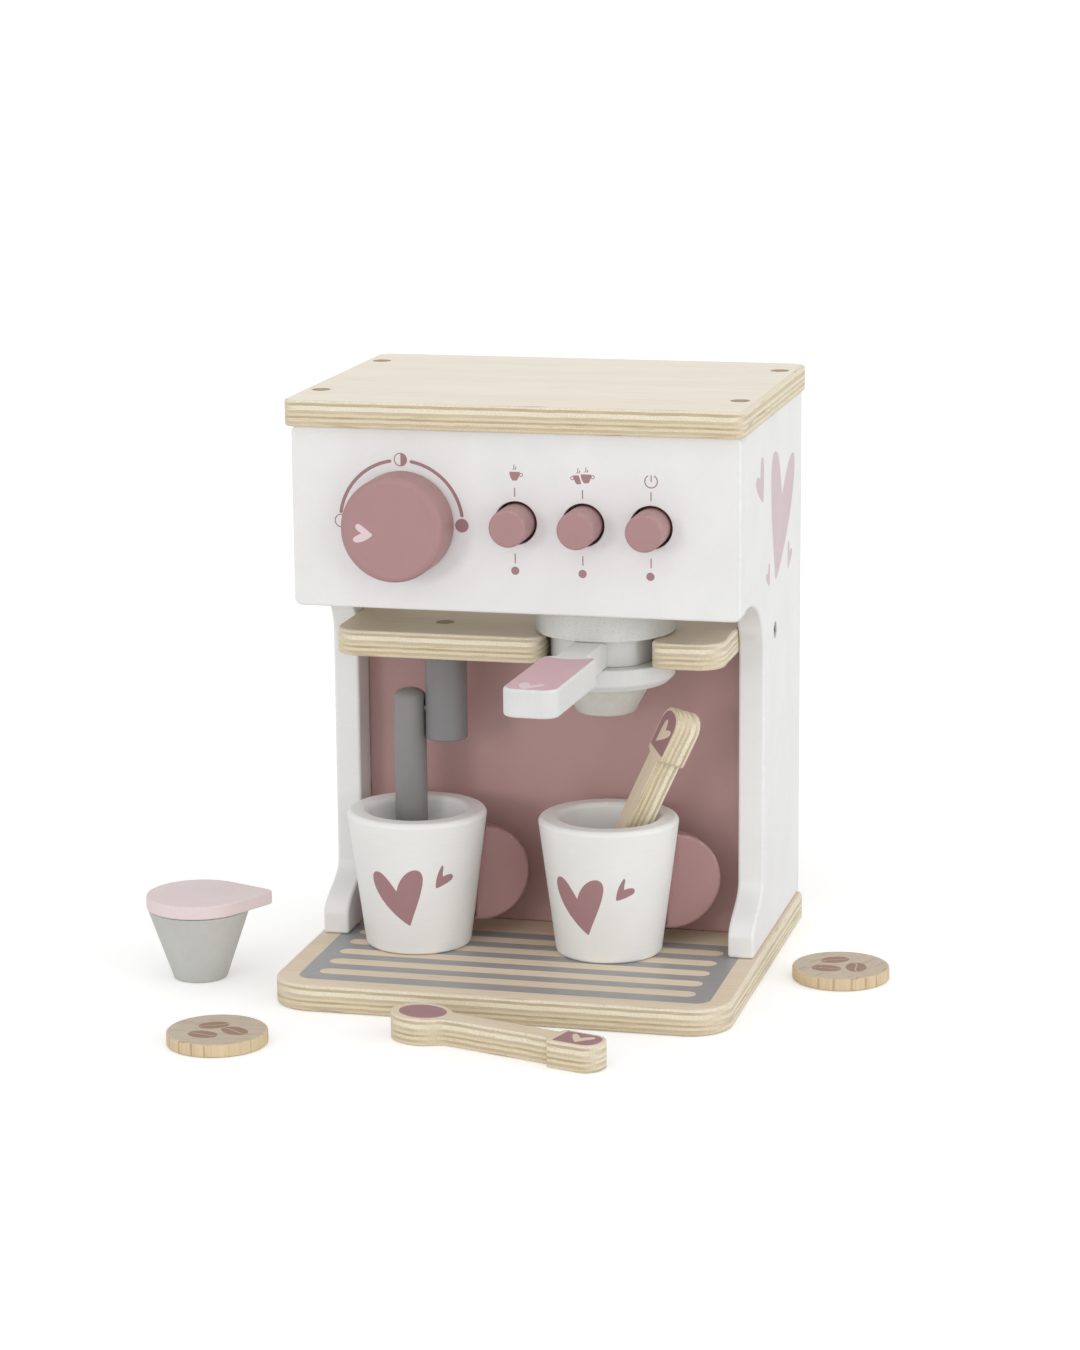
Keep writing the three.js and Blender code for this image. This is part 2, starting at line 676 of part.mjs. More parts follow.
// Cups: thick turned walls with a full round rim, and a disc handle let against each
const cupShares = {
  height: 0.313976, foot: 0.119587, rim: 0.15748, footRound: 0.007874, wall: 0.048228, floor: 0.070374,
  innerFoot: 0.077756, innerRound: 0.024606,
};
const cupHandleShares = {
  radius: 0.10876, thickness: 0.049213, edge: 0.007874, offset: 0.14813, height: 0.151575,
};
const cupOffsetShares = {
  besideArm: 0.028543, beforeArm: 0.056594, besideNotch: 0.009843, beforeNotch: 0.023622,
};
const cup = sharesOf(housingWidth, cupShares);
const cupHandle = sharesOf(housingWidth, cupHandleShares);
const cupOffsets = sharesOf(housingWidth, cupOffsetShares);
const cupPlaces = {
  left_cup: { x: armX + cupOffsets.besideArm, y: wandY - cupOffsets.beforeArm, turn: 29 },
  right_cup: {
    x: portafilter.x + cupOffsets.besideNotch, y: portafilterY - cupOffsets.beforeNotch, turn: 29,
  },
};

function cupProfile() {
  const { height, foot, rim, footRound, wall, floor, innerFoot, innerRound } = cup;
  const lip = wall / 2;
  return [
    [0, 0],
    ...round(foot - footRound, footRound, footRound, -90, 0, 1),
    ...round(rim - lip, height - lip, lip, 0, 180, 6),
    ...round(innerFoot - innerRound, floor + innerRound, innerRound, 0, -90, 2),
    [0, floor],
  ];
}

// The cup's plain outside, grown by the gap that its handle keeps
function cupOutside(gap) {
  const { height, foot, rim, footRound, wall } = cup;
  return turned([
    [0, -overrun],
    [foot + gap, -overrun],
    [foot + gap, footRound],
    [rim + gap, height - wall / 2],
    [rim + gap, height + overrun],
    [0, height + overrun],
  ]);
}

function handleDisc() {
  const { radius, thickness, edge, offset, height } = cupHandle;
  const outline = new THREE.Shape();
  outline.absarc(0, 0, radius, 0, 2 * Math.PI);
  const disc = new THREE.ExtrudeGeometry(outline, {
    depth: thickness - 2 * edge,
    bevelThickness: edge,
    bevelSize: edge,
    bevelOffset: -edge,
    bevelSegments: roundedSteps,
    curveSegments: rodSides / 2,
  });
  disc.translate(0, 0, edge - thickness / 2).applyMatrix4(facingFront).translate(offset, 0, height);
  return cut(disc, [cupOutside(runningGap)]);
}

for (const [name, { x, y, turn }] of Object.entries(cupPlaces)) {
  const group = new THREE.Group();
  group.position.set(x, y, baseTop + glueLine);
  group.rotation.z = THREE.MathUtils.degToRad(turn);
  machine.add(group);
  piece(name, turned(cupProfile()), whitePaint, undefined, group);
  piece(`${name}_handle`, handleDisc(), pinkPaint, undefined, group);
}

// Spoons: an oval head, a narrow shaft and a broader grip, cut from plywood.
// The outline's origin is the head's centre and x runs to the grip.
const spoonShares = {
  thickness: 0.059055, head: 0.068898, headHalf: 0.057579, neckHalf: 0.024114, shaftHalf: 0.024606,
  gripHalf: 0.041339, shoulder: 0.010827, endCorner: 0.036909, neckBlend: 0.019685,
};
const spoonLengthShares = { shaftEnd: 0.489377, gripEnd: 0.666667 };
const spoon = {
  ...sharesOf(housingWidth, spoonShares), ...sharesOf(bayHeight, spoonLengthShares), edge: 0.4,
};

function spoonOutline() {
  const { head, headHalf, neckHalf, neckBlend, shaftEnd, shaftHalf } = spoon;
  const { gripHalf, gripEnd, shoulder, endCorner } = spoon;
  const open = Math.asin((neckHalf + neckBlend / 2) / headHalf);
  const openDegrees = THREE.MathUtils.radToDeg(open);
  const neckX = head * Math.cos(open) + neckBlend;
  const outline = new THREE.Shape();
  outline.moveTo(head * Math.cos(open), headHalf * Math.sin(open));
  for (const [x, y] of round(0, 0, head, openDegrees, 360 - openDegrees, largeSteps)) {
    outline.lineTo(x, (headHalf * y) / head);
  }
  outline.quadraticCurveTo(head, -neckHalf, neckX, -neckHalf);
  outline.lineTo(shaftEnd, -shaftHalf);
  outline.quadraticCurveTo(shaftEnd, -gripHalf, shaftEnd + shoulder, -gripHalf);
  outline.absarc(gripEnd - endCorner, -gripHalf + endCorner, endCorner, -Math.PI / 2, 0);
  outline.absarc(gripEnd - endCorner, gripHalf - endCorner, endCorner, 0, Math.PI / 2);
  outline.lineTo(shaftEnd + shoulder, gripHalf);
  outline.quadraticCurveTo(shaftEnd, gripHalf, shaftEnd, shaftHalf);
  outline.lineTo(neckX, neckHalf);
  outline.quadraticCurveTo(head, neckHalf, head * Math.cos(open), headHalf * Math.sin(open));
  return outline;
}

const tableSpoonPlace = { x: -25.2, ahead: 25, turn: -17 };
const tableSpoon = piece("table_spoon", board(spoonOutline(), spoon.thickness, spoon.edge), plywood,
  new THREE.Vector3(tableSpoonPlace.x, -baseDepth / 2 - tableSpoonPlace.ahead, 0));
tableSpoon.rotation.z = THREE.MathUtils.degToRad(tableSpoonPlace.turn);

// The cup's spoon leans to the right: its head stands on the cup's floor, its shaft lies at the rim
const cupSpoonShares = { x: -0.00935, y: 0.002461, z: 0.147146 };
const cupSpoonTurn = { lean: 24.6, roll: 34.1 };

function cupSpoon() {
  const { x, y, z } = sharesOf(housingWidth, cupSpoonShares);
  const { lean, roll } = cupSpoonTurn;
  const group = new THREE.Group();
  group.position.set(cupPlaces.right_cup.x + x, cupPlaces.right_cup.y + y, baseTop + glueLine + z);
  const length = new THREE.Vector3(0, 0, 1).applyAxisAngle(yAxis, THREE.MathUtils.degToRad(lean));
  const width = yAxis.clone().negate().applyAxisAngle(length, THREE.MathUtils.degToRad(roll));
  const through = new THREE.Vector3().crossVectors(length, width);
  group.setRotationFromMatrix(new THREE.Matrix4().makeBasis(length, width, through));
  machine.add(group);
  const centre = new THREE.Vector3(0, 0, -spoon.thickness / 2);
  piece("cup_spoon", board(spoonOutline(), spoon.thickness, spoon.edge), plywood, centre, group);
}

cupSpoon();

// Creamer: a small tapered cup with a drop-shaped lid that a spigot centres
const creamer = {
  beside: 45, y: -58.2, foot: 12.2, rim: 23.4, height: 32.8, wall: 3.6, floor: 5, footEdge: 0.8,
};
const creamerX = -baseWidth / 2 - creamer.beside;
const lid = {
  radius: 23.9, thickness: 6.2, edge: 0.9, tab: 29.8, tabRadius: 3.6, turn: 20.7, spigotDepth: 3,
};

function creamerCup() {
  const { foot, rim, height, wall, floor, footEdge } = creamer;
  return turned([
    [0, 0],
    [foot - footEdge, 0],
    [foot, footEdge],
    [rim, height],
    [rim - wall, height],
    [foot - wall + ((rim - foot) * floor) / height, floor],
    [0, floor],
  ]);
}

// Circle and tab tip, joined by their common tangents
function lidOutline() {
  const { radius, tab, tabRadius } = lid;
  const lean = Math.acos((radius - tabRadius) / tab);
  const leanDegrees = THREE.MathUtils.radToDeg(lean);
  const outline = new THREE.Shape();
  outline.moveTo(radius * Math.cos(lean), radius * Math.sin(lean));
  addArc(outline, 0, 0, radius, leanDegrees, 360 - leanDegrees);
  outline.absarc(tab, 0, tabRadius, -lean, lean);
  return outline;
}

function creamerLid() {
  const plate = board(lidOutline(), lid.thickness, lid.edge);
  const spigotRadius = creamer.rim - creamer.wall - 2 * runningGap
    - (lid.spigotDepth * (creamer.rim - creamer.foot)) / creamer.height;
  const spigot = hole(spigotRadius, lid.spigotDepth + lid.thickness / 2, turnedSides);
  return join([plate, spigot.translate(0, 0, -lid.spigotDepth)]);
}

piece("creamer_cup", creamerCup(), creamerGrey, new THREE.Vector3(creamerX, creamer.y, 0));
const lidPlace = new THREE.Vector3(creamerX, creamer.y, creamer.height + runningGap);
const lidMesh = piece("creamer_lid", creamerLid(), palePinkPaint, lidPlace);
lidMesh.rotation.z = THREE.MathUtils.degToRad(lid.turn);

// Coffee pads: plain turned discs
const pad = { radius: 22.1, thickness: 5.8, edge: 0.8 };
const padOffsets = { leftBeside: 6, leftAhead: 50.5, rightBeside: 34.2, rightY: 1.4 };
const padPlaces = {
  left_coffee_pad: [-baseWidth / 2 - padOffsets.leftBeside, -baseDepth / 2 - padOffsets.leftAhead],
  right_coffee_pad: [baseWidth / 2 + padOffsets.rightBeside, padOffsets.rightY],
};
for (const [name, [x, y]] of Object.entries(padPlaces)) {
  piece(name, rod(pad.radius, pad.thickness, pad.edge, turnedSides), beech, new THREE.Vector3(x, y, 0));
}

export default machine;
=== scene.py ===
import json
import math

import bmesh
import bpy
from mathutils import Matrix, Vector
from mathutils.geometry import delaunay_2d_cdt


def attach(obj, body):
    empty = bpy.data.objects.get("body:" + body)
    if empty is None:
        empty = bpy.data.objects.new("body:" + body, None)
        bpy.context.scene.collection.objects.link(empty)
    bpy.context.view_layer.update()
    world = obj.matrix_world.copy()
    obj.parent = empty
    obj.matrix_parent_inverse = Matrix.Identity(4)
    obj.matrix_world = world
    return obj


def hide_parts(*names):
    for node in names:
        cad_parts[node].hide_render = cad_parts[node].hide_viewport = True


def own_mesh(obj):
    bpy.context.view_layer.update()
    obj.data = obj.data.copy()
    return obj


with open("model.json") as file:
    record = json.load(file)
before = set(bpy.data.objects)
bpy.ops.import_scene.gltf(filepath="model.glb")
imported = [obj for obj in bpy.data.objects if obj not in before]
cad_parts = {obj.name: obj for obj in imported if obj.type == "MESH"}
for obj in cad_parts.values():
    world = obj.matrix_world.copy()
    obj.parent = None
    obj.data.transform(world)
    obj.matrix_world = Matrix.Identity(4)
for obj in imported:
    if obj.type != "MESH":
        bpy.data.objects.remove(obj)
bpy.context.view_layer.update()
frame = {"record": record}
record = frame["record"]
mm = 0.001
scene = bpy.context.scene
bodyOf = {node: body for body, nodes in record["behaviour"]["bodies"].items() for node in nodes}

# Levels that several pieces share, in millimetres
levels = {
    "baseTop": 12,
    "shelfUnderside": 148.5,
    "shelfTop": 160.5,
    "panelBottom": 174.5,
    "topUnderside": 256,
    "machineTop": 268,
    "panelFace": -53.1,
    "panelBack": -41.1,
    "wallFront": -41.0,
    "wallBack": 99,
    "shelfFront": -36.5,
    "wallInside": 89.6,
    "wallOutside": 101.6,
    "board": 12,
    "glue": 0.1,
    "gap": 0.3,
    "play": 0.15,
    "holeEdge": 0.1,
}
wallBottom = levels["baseTop"] + levels["glue"]

upright = ((1, 0, 0), (0, 1, 0), (0, 0, 1))
facingFront = ((1, 0, 0), (0, 0, 1), (0, -1, 0))
facingRight = ((0, 1, 0), (0, 0, 1), (1, 0, 0))
facingLeft = ((0, -1, 0), (0, 0, 1), (-1, 0, 0))


def placed(x, y, z, axes=upright, turn=0):
    # a place in millimetres, with its own axes, turned round its own z in degrees
    matrix = Matrix(axes).transposed().to_4x4() @ Matrix.Rotation(math.radians(turn), 4, "Z")
    matrix.translation = Vector((x, y, z)) * mm
    return matrix


def arc(x, y, radius, start, end, steps=12):
    angles = [math.radians(start + (end - start) * i / steps) for i in range(steps + 1)]
    return [Vector((x + radius * math.cos(a), y + radius * math.sin(a))) for a in angles]


def circle(x, y, radius, steps=48):
    return arc(x, y, radius, 0, 360, steps)[:-1]


def bezier(points, steps=12):
    a, b, c, d = (Vector(point) for point in points)
    path = []
    for i in range(steps + 1):
        t = i / steps
        s = 1 - t
        path.append(a * s**3 + b * 3 * s * s * t + c * 3 * s * t * t + d * t**3)
    return path


def rounded(corners, closed=True):
    # a path through corners (x, y) or (x, y, radius), each rounded by its radius
    path = []
    for i, (x, y, *radius) in enumerate(corners):
        here = Vector((x, y))
        if not radius or (not closed and i in (0, len(corners) - 1)):
            path.append(here)
            continue
        before = (Vector(corners[i - 1][:2]) - here).normalized()
        after = (Vector(corners[(i + 1) % len(corners)][:2]) - here).normalized()
        half = before.angle(after) / 2
        start = here + before * (radius[0] / math.tan(half))
        middle = here + (before + after).normalized() * (radius[0] / math.sin(half))
        arm = start - middle
        sweep = math.pi - 2 * half
        if before.cross(after) > 0:
            sweep = -sweep
        steps = min(16, 4 + int(radius[0]))
        for k in range(steps + 1):
            path.append(middle + Matrix.Rotation(sweep * k / steps, 2) @ arm)
    return path


def tidy(path, least=0.01):
    # leaves out points that lie on the one before
    return [point for i, point in enumerate(path) if (point - path[i - 1]).length > least]


def inset(outline, distance):
    # moves a closed outline to its left
    moved = []
    for i, here in enumerate(outline):
        first = (here - outline[i - 1]).normalized()
        second = (outline[(i + 1) % len(outline)] - here).normalized()
        normal = Vector((-first.y - second.y, first.x + second.x)) / 2
        moved.append(here + normal * (distance / max(normal.length_squared, 0.2)))
    return moved


def isInside(point, loops):
    crossings = 0
    for loop in loops:
        for a, b in zip(loop, loop[1:] + loop[:1]):
            if (a.y > point.y) != (b.y > point.y):
                if point.x < (b.x - a.x) * (point.y - a.y) / (b.y - a.y) + a.x:
                    crossings += 1
    return crossings % 2 == 1


def filled(loops, spacing=0):
    # triangles that fill closed loops, holes left open, with inner points where spacing is given
    points, sides = [], []
    for loop in loops:
        start = len(points)
        points += loop
        sides += [(start + i, start + (i + 1) % len(loop)) for i in range(len(loop))]
    if spacing:
        low = Vector((min(p.x for p in points), min(p.y for p in points)))
        high = Vector((max(p.x for p in points), max(p.y for p in points)))
        inner = []
        for i in range(1, int((high.x - low.x) / spacing) + 1):
            for k in range(1, int((high.y - low.y) / spacing) + 1):
                point = low + Vector((i, k)) * spacing
                near = min((point - p).length for p in points)
                if near > spacing * 0.4 and isInside(point, loops):
                    inner.append(point)
        points = points + inner
    found, _, triangles, *_ = delaunay_2d_cdt(points, sides, [], 0, 1e-6, False)
    kept = []
    for triangle in triangles:
        a, b, c = (found[i] for i in triangle)
        if isInside((a + b + c) / 3, loops):
            kept.append(tuple(triangle) if (b - a).cross(c - a) > 0 else tuple(triangle)[::-1])
    return found, kept


def drawn(points, size=1, x=0, y=0, turn=0, mirror=1, steps=10):
    # a closed outline of joined curves, resized, mirrored and turned about its own origin
    path = []
    for i in range(0, len(points) - 1, 3):
        path += bezier(points[i:i + 4], steps)[1:]
    spin = Matrix.Rotation(math.radians(turn), 2)
    return tidy([spin @ Vector((p.x * mirror, p.y)) * size + Vector((x, y)) for p in path])


def stroke(path, width):
    # a closed outline along a path, with round ends
    ends = [math.degrees(math.atan2(b.y - a.y, b.x - a.x)) for a, b in (path[:2], path[-2:])]
    right, left = [], []
    for i, here in enumerate(path):
        ahead = path[min(i + 1, len(path) - 1)] - path[max(i - 1, 0)]
        side = Vector((ahead.y, -ahead.x)).normalized() * (width / 2)
        right.append(here + side)
        left.append(here - side)
    outline = right + arc(*path[-1], width / 2, ends[1] - 90, ends[1] + 90, 8)
    outline += left[::-1] + arc(*path[0], width / 2, ends[0] + 90, ends[0] + 270, 8)
    return tidy(outline)


def newShape():
    return {"points": [], "faces": [], "edgeSheenAndWear": [], "parts": []}


def addPoints(shape, points, edgeSheenAndWear=0):
    start = len(shape["points"])
    shape["points"] += [tuple(coordinate * mm for coordinate in point) for point in points]
    shape["edgeSheenAndWear"] += [edgeSheenAndWear] * len(points)
    return start


def addFaces(shape, faces, part=0):
    shape["faces"] += faces
    shape["parts"] += [part] * len(faces)


def joinRings(shape, first, second, count, part=0):
    sides = [(i, (i + 1) % count) for i in range(count)]
    addFaces(shape, [(first + i, first + j, second + j, second + i) for i, j in sides], part)


def edgeRings(thickness, edge, steps=5):
    # inset, level and edge mark of each ring up a board's rounded edge; the mark, strongest mid-round, places
    # the painted edge highlight and the wear
    rings = []
    for k in range(steps + 1):
        a = math.radians(90 * k / steps)
        rings.append((edge * (1 - math.sin(a)), edge * (1 - math.cos(a)), math.sin(2 * a)))
    return rings + [(gone, thickness - level, edgeSheenAndWear) for gone, level, edgeSheenAndWear in reversed(rings)]


def addLoop(shape, outline, rings, part=1):
    # the walls along one closed outline: its ends are given back for the caps
    outline = tidy(outline)
    starts = []
    for gone, level, edgeSheenAndWear in rings:
        points = [(p.x, p.y, level) for p in inset(outline, gone)]
        starts.append(addPoints(shape, points, edgeSheenAndWear))
    for first, second in zip(starts, starts[1:]):
        joinRings(shape, first, second, len(outline), part)
    return [inset(outline, rings[0][0]), inset(outline, rings[-1][0])]


def addCap(shape, loops, level, isTop, part=0):
    points, triangles = filled(loops)
    start = addPoints(shape, [(p.x, p.y, level) for p in points])
    order = (0, 1, 2) if isTop else (2, 1, 0)
    addFaces(shape, [tuple(start + triangle[i] for i in order) for triangle in triangles], part)


def addPlate(shape, outline, thickness, edge, holes=(), steps=5):
    # holes are closed clockwise outlines, each with its own rings
    ends = [addLoop(shape, outline, edgeRings(thickness, edge, steps))]
    ends += [addLoop(shape, hole, rings) for hole, rings in holes]
    addCap(shape, [bottom for bottom, _ in ends], 0, False)
    addCap(shape, [top for _, top in ends], thickness, True)


def roundHole(x, y, radius, thickness, edge, steps=48):
    return circle(x, y, radius, steps)[::-1], edgeRings(thickness, edge, 3)


# Countersunk screws with a cross recess, and the play round them in a board
screw = {
    "head": 3.8, "headDepth": 2.4, "shank": 1.9, "point": 3, "tip": 0.1,
    "crossReach": 2.3, "crossHalf": 0.42, "crossDepth": 1.4,
}


def sunkHole(x, y, thickness, recess, isFromBelow=True):
    # the bore of a screw whose head lies in by its recess
    head, shank = screw["head"] + levels["play"], screw["shank"] + levels["play"]
    rings = [(head, 0), (head, recess), (shank, recess + screw["headDepth"]), (shank, thickness)]
    if not isFromBelow:
        rings = [(radius, thickness - level) for radius, level in reversed(rings)]
    return circle(x, y, shank, 32)[::-1], [(radius - shank, level, 0) for radius, level in rings]


def addTurned(shape, profile, segments=96):
    # profile of (radius, height) from the axis below, up the outside, to the axis above
    profile = tidy([Vector(point) for point in profile])
    before = None
    for i, point in enumerate(profile):
        edgeSheenAndWear = 0
        if 0 < i < len(profile) - 1:
            bend = math.degrees((point - profile[i - 1]).angle(profile[i + 1] - point))
            edgeSheenAndWear = max(0, min(1, (bend - 12) / 9))  # only a tight round gets the painted edge highlight and wear
        if point.x < 1e-4:
            here = [addPoints(shape, [(0, 0, point.y)], edgeSheenAndWear)] * segments
        else:
            ring = [(p.x, p.y, point.y) for p in circle(0, 0, point.x, segments)]
            start = addPoints(shape, ring, edgeSheenAndWear)
            here = list(range(start, start + segments))
        if before:
            faces = []
            for k in range(segments):
                corners = [before[k], before[(k + 1) % segments], here[(k + 1) % segments], here[k]]
                faces.append(tuple(dict.fromkeys(corners)))
            addFaces(shape, faces)
        before = here


ink = {"under": -0.03, "over": 0.05}


def addInk(shape, loops, wrap, spacing=0):
    # a thin closed layer of print: drawn flat, laid on its surface by wrap(x, y, level)
    points, triangles = filled(loops, spacing)
    levelsOfInk = (ink["under"], ink["over"])
    low, high = (addPoints(shape, [wrap(p.x, p.y, level) for p in points]) for level in levelsOfInk)
    sides = set()
    for a, b, c in triangles:
        addFaces(shape, [(low + c, low + b, low + a), (high + a, high + b, high + c)])
        sides |= {(a, b), (b, c), (c, a)}
    rims = [(a, b) for a, b in sorted(sides) if (b, a) not in sides]
    addFaces(shape, [(low + a, low + b, high + b, high + a) for a, b in rims])


def makeObject(name, shape, place, materials, sharp=38, keepNormals=True):
    mesh = bpy.data.meshes.new(name)
    mesh.from_pydata(shape["points"], [], shape["faces"])
    mesh.attributes.new("edgeSheenAndWear", "FLOAT", "POINT").data.foreach_set("value", shape["edgeSheenAndWear"])
    mesh.polygons.foreach_set("material_index", shape["parts"])
    cleaner = bmesh.new()
    cleaner.from_mesh(mesh)
    bmesh.ops.remove_doubles(cleaner, verts=cleaner.verts, dist=0.002 * mm)
    cleaner.to_mesh(mesh)
    cleaner.free()
    mesh.shade_smooth()
    mesh.set_sharp_from_angle(angle=math.radians(sharp))
    for material in materials:
        mesh.materials.append(material)
    made = bpy.data.objects.new(name, mesh)
    made.matrix_world = place
    scene.collection.objects.link(made)
    if keepNormals:
        weighted = made.modifiers.new("flat faces", "WEIGHTED_NORMAL")
        weighted.keep_sharp = True
        weighted.weight = 90
    return made


def dress(made, node):
    # the made piece stands for its CAD node and rides on its body
    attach(made, bodyOf[node])
    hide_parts(node)


def makePrint(name, node, drawings, wrap, look, place=None, spacing=0):
    # drawings are lists of closed loops, all in one color, printed on one piece
    shape = newShape()
    for loops in drawings:
        addInk(shape, loops, wrap, spacing)
    made = makeObject(name, shape, place or Matrix(), [looks[look]], 38, False)
    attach(made, bodyOf[node])


def cutAway(made, tool):
    # cuts a closed tool out of a made piece, and drops the tool
    modifier = made.modifiers.new("cut", "BOOLEAN")
    modifier.operation = "DIFFERENCE"
    modifier.solver = "EXACT"
    modifier.object = tool
    bpy.context.view_layer.update()
    graph = bpy.context.evaluated_depsgraph_get()
    mesh = bpy.data.meshes.new_from_object(made.evaluated_get(graph), depsgraph=graph)
    made.modifiers.remove(modifier)
    made.data = mesh
    bpy.data.objects.remove(tool)
    return made


# Materials
def linear(color):
    shares = [part / 255 for part in color]
    return tuple(s / 12.92 if s < 0.04045 else ((s + 0.055) / 1.055) ** 2.4 for s in shares) + (1,)


def addNode(tree, kind, inputs=None, **settings):
    made = tree.nodes.new("ShaderNode" + kind)
    for key, value in settings.items():
        setattr(made, key, value)
    for socket, value in (inputs or {}).items():
        if isinstance(value, bpy.types.NodeSocket):
            tree.links.new(value, made.inputs[socket])
        else:
            made.inputs[socket].default_value = value
    return made


def mixed(tree, share, first, second):
    return addNode(tree, "Mix", {0: share, 6: first, 7: second}, data_type="RGBA").outputs[2]


even = (1, 1, 1)


def noise(tree, stretch, scale, detail=3, roughness=0.5):
    # noise in the piece's own coordinates, stretched by three shares
    place = addNode(tree, "TexCoord").outputs["Object"]
    vector = addNode(tree, "VectorMath", {0: place, 1: stretch}, operation="MULTIPLY").outputs[0]
    inputs = {"Vector": vector, "Scale": scale, "Detail": detail, "Roughness": roughness}
    return addNode(tree, "TexNoise", inputs).outputs[0]


def ranged(tree, value, low, high, start=0.0, end=1.0):
    inputs = {"Value": value, "From Min": low, "From Max": high, "To Min": start, "To Max": end}
    return addNode(tree, "MapRange", inputs).outputs[0]


def shaded(color, share):
    return linear([min(255, part * share) for part in color])


def tinted(tree, base, pattern, low, high, share, color):
    # a linear color laid over a base where a pattern rises from low to high
    return mixed(tree, ranged(tree, pattern, low, high, 0, share), base, color)


def newMaterial(name, roughness, specular=0.4):
    material = bpy.data.materials.new(name)
    material.use_nodes = True
    tree = material.node_tree
    shader = tree.nodes["Principled BSDF"]
    shader.inputs["Roughness"].default_value = roughness
    shader.inputs["Specular IOR Level"].default_value = specular
    return material, tree, shader


def bump(tree, shader, height, strength, distance):
    made = addNode(tree, "Bump", {"Height": height, "Strength": strength, "Distance": distance * mm})
    tree.links.new(made.outputs[0], shader.inputs["Normal"])


def multiplied(tree, first, second):
    return addNode(tree, "Math", {0: first, 1: second}, operation="MULTIPLY").outputs[0]


def sheenAndWearOnEdges(tree, base, amount, color):
    # rounded edges take another color in patches: a lighter one is a painted highlight along the round, mixed
    # with rubbed wear; a darker one just darkens the round
    edgeSheenAndWear = addNode(tree, "Attribute", attribute_name="edgeSheenAndWear").outputs["Fac"]
    patches = ranged(tree, noise(tree, even, 260, 4, 0.65), 0.45, 0.7)
    return mixed(tree, multiplied(tree, multiplied(tree, edgeSheenAndWear, patches), amount), base, color)


def setGloss(tree, shader, roughness, scale, smoother, rougher):
    # the roughness varies a little over the surface
    gloss = ranged(tree, noise(tree, even, scale, 3), 0.3, 0.7, roughness - smoother, roughness + rougher)
    tree.links.new(gloss, shader.inputs["Roughness"])


def paint(name, color, roughness, edgeSheenAndWearColor, edgeSheenAndWear=0.5, grain=0.05, specular=0.4, brushing=(1, 1, 0.06)):
    # brushed or sprayed paint on wood: a faint grain shows through, and the rounded edges are lighter in
    # patches, a painted highlight mixed with rubbed wear
    material, tree, shader = newMaterial(name, roughness, specular)
    clouds = ranged(tree, noise(tree, even, 45, 4), 0.3, 0.7)
    fibres = noise(tree, brushing, 900)
    base = mixed(tree, clouds, shaded(color, 0.99), shaded(color, 1.01))
    base = tinted(tree, base, fibres, 0.35, 0.75, grain * 4, shaded(color, 0.93))
    tree.links.new(sheenAndWearOnEdges(tree, base, edgeSheenAndWear, linear(edgeSheenAndWearColor)), shader.inputs["Base Color"])
    setGloss(tree, shader, roughness, 220, 0.05, 0.07)
    bump(tree, shader, mixed(tree, 0.5, fibres, noise(tree, even, 1100, 2)), 0.25, grain)
    return material


def printInk(name, color, roughness=0.5, grain=0.03):
    return paint(name, color, roughness, color, 0, grain)


def plywoodFace(name, pale, tan, line):
    # veneer with its grain along x: soft bands, fine lines and a few flecks
    material, tree, shader = newMaterial(name, 0.55, 0.35)
    bands = ranged(tree, noise(tree, (0.12, 1, 1), 60, 4, 0.55), 0.3, 0.72)
    fine = noise(tree, (0.03, 1, 1), 900, 3, 0.6)
    flecks = noise(tree, (0.12, 1, 1), 420, 2, 0.5)
    base = mixed(tree, bands, linear(pale), linear(tan))
    base = tinted(tree, base, fine, 0.42, 0.8, 0.4, linear(line))
    base = tinted(tree, base, flecks, 0.64, 0.76, 0.35, shaded(line, 0.93))
    # the lighter color on the rounded edges is a painted highlight, mixed with wear
    tree.links.new(sheenAndWearOnEdges(tree, base, 0.35, linear((246, 240, 226))), shader.inputs["Base Color"])
    bump(tree, shader, fine, 0.35, 0.06)
    return material


# Layers of the plywood's edge from below: upper level in millimetres, color on the long sides and
# on the short ones. Along each level two layers blend over twice this height.
plyBlend, plyStack = 0.12, 13
plies = [
    (1.4, (220, 206, 178), (214, 203, 180)),
    (2.7, (196, 178, 146), (234, 224, 202)),
    (4.0, (228, 214, 186), (208, 194, 167)),
    (5.0, (180, 160, 128), (237, 229, 208)),
    (6.2, (224, 210, 181), (210, 197, 172)),
    (7.6, (201, 186, 158), (238, 230, 210)),
    (9.6, (241, 233, 212), (207, 193, 167)),
    (10.9, (188, 170, 140), (238, 230, 212)),
    (12.2, (236, 227, 208), (231, 221, 201)),
]


def plyRamp(tree, share, side):
    made = addNode(tree, "ValToRGB", {0: share})
    stops, level = [], 0
    for ply in plies:
        stops += [(level + plyBlend, ply[side]), (ply[0] - plyBlend, ply[side])]
        level = ply[0]
    elements = made.color_ramp.elements
    elements.remove(elements[1])
    for i, (level, color) in enumerate(stops):
        stop = elements.new(level / plyStack) if i else elements[0]
        stop.position, stop.color = level / plyStack, linear(color)
    return made.outputs[0]


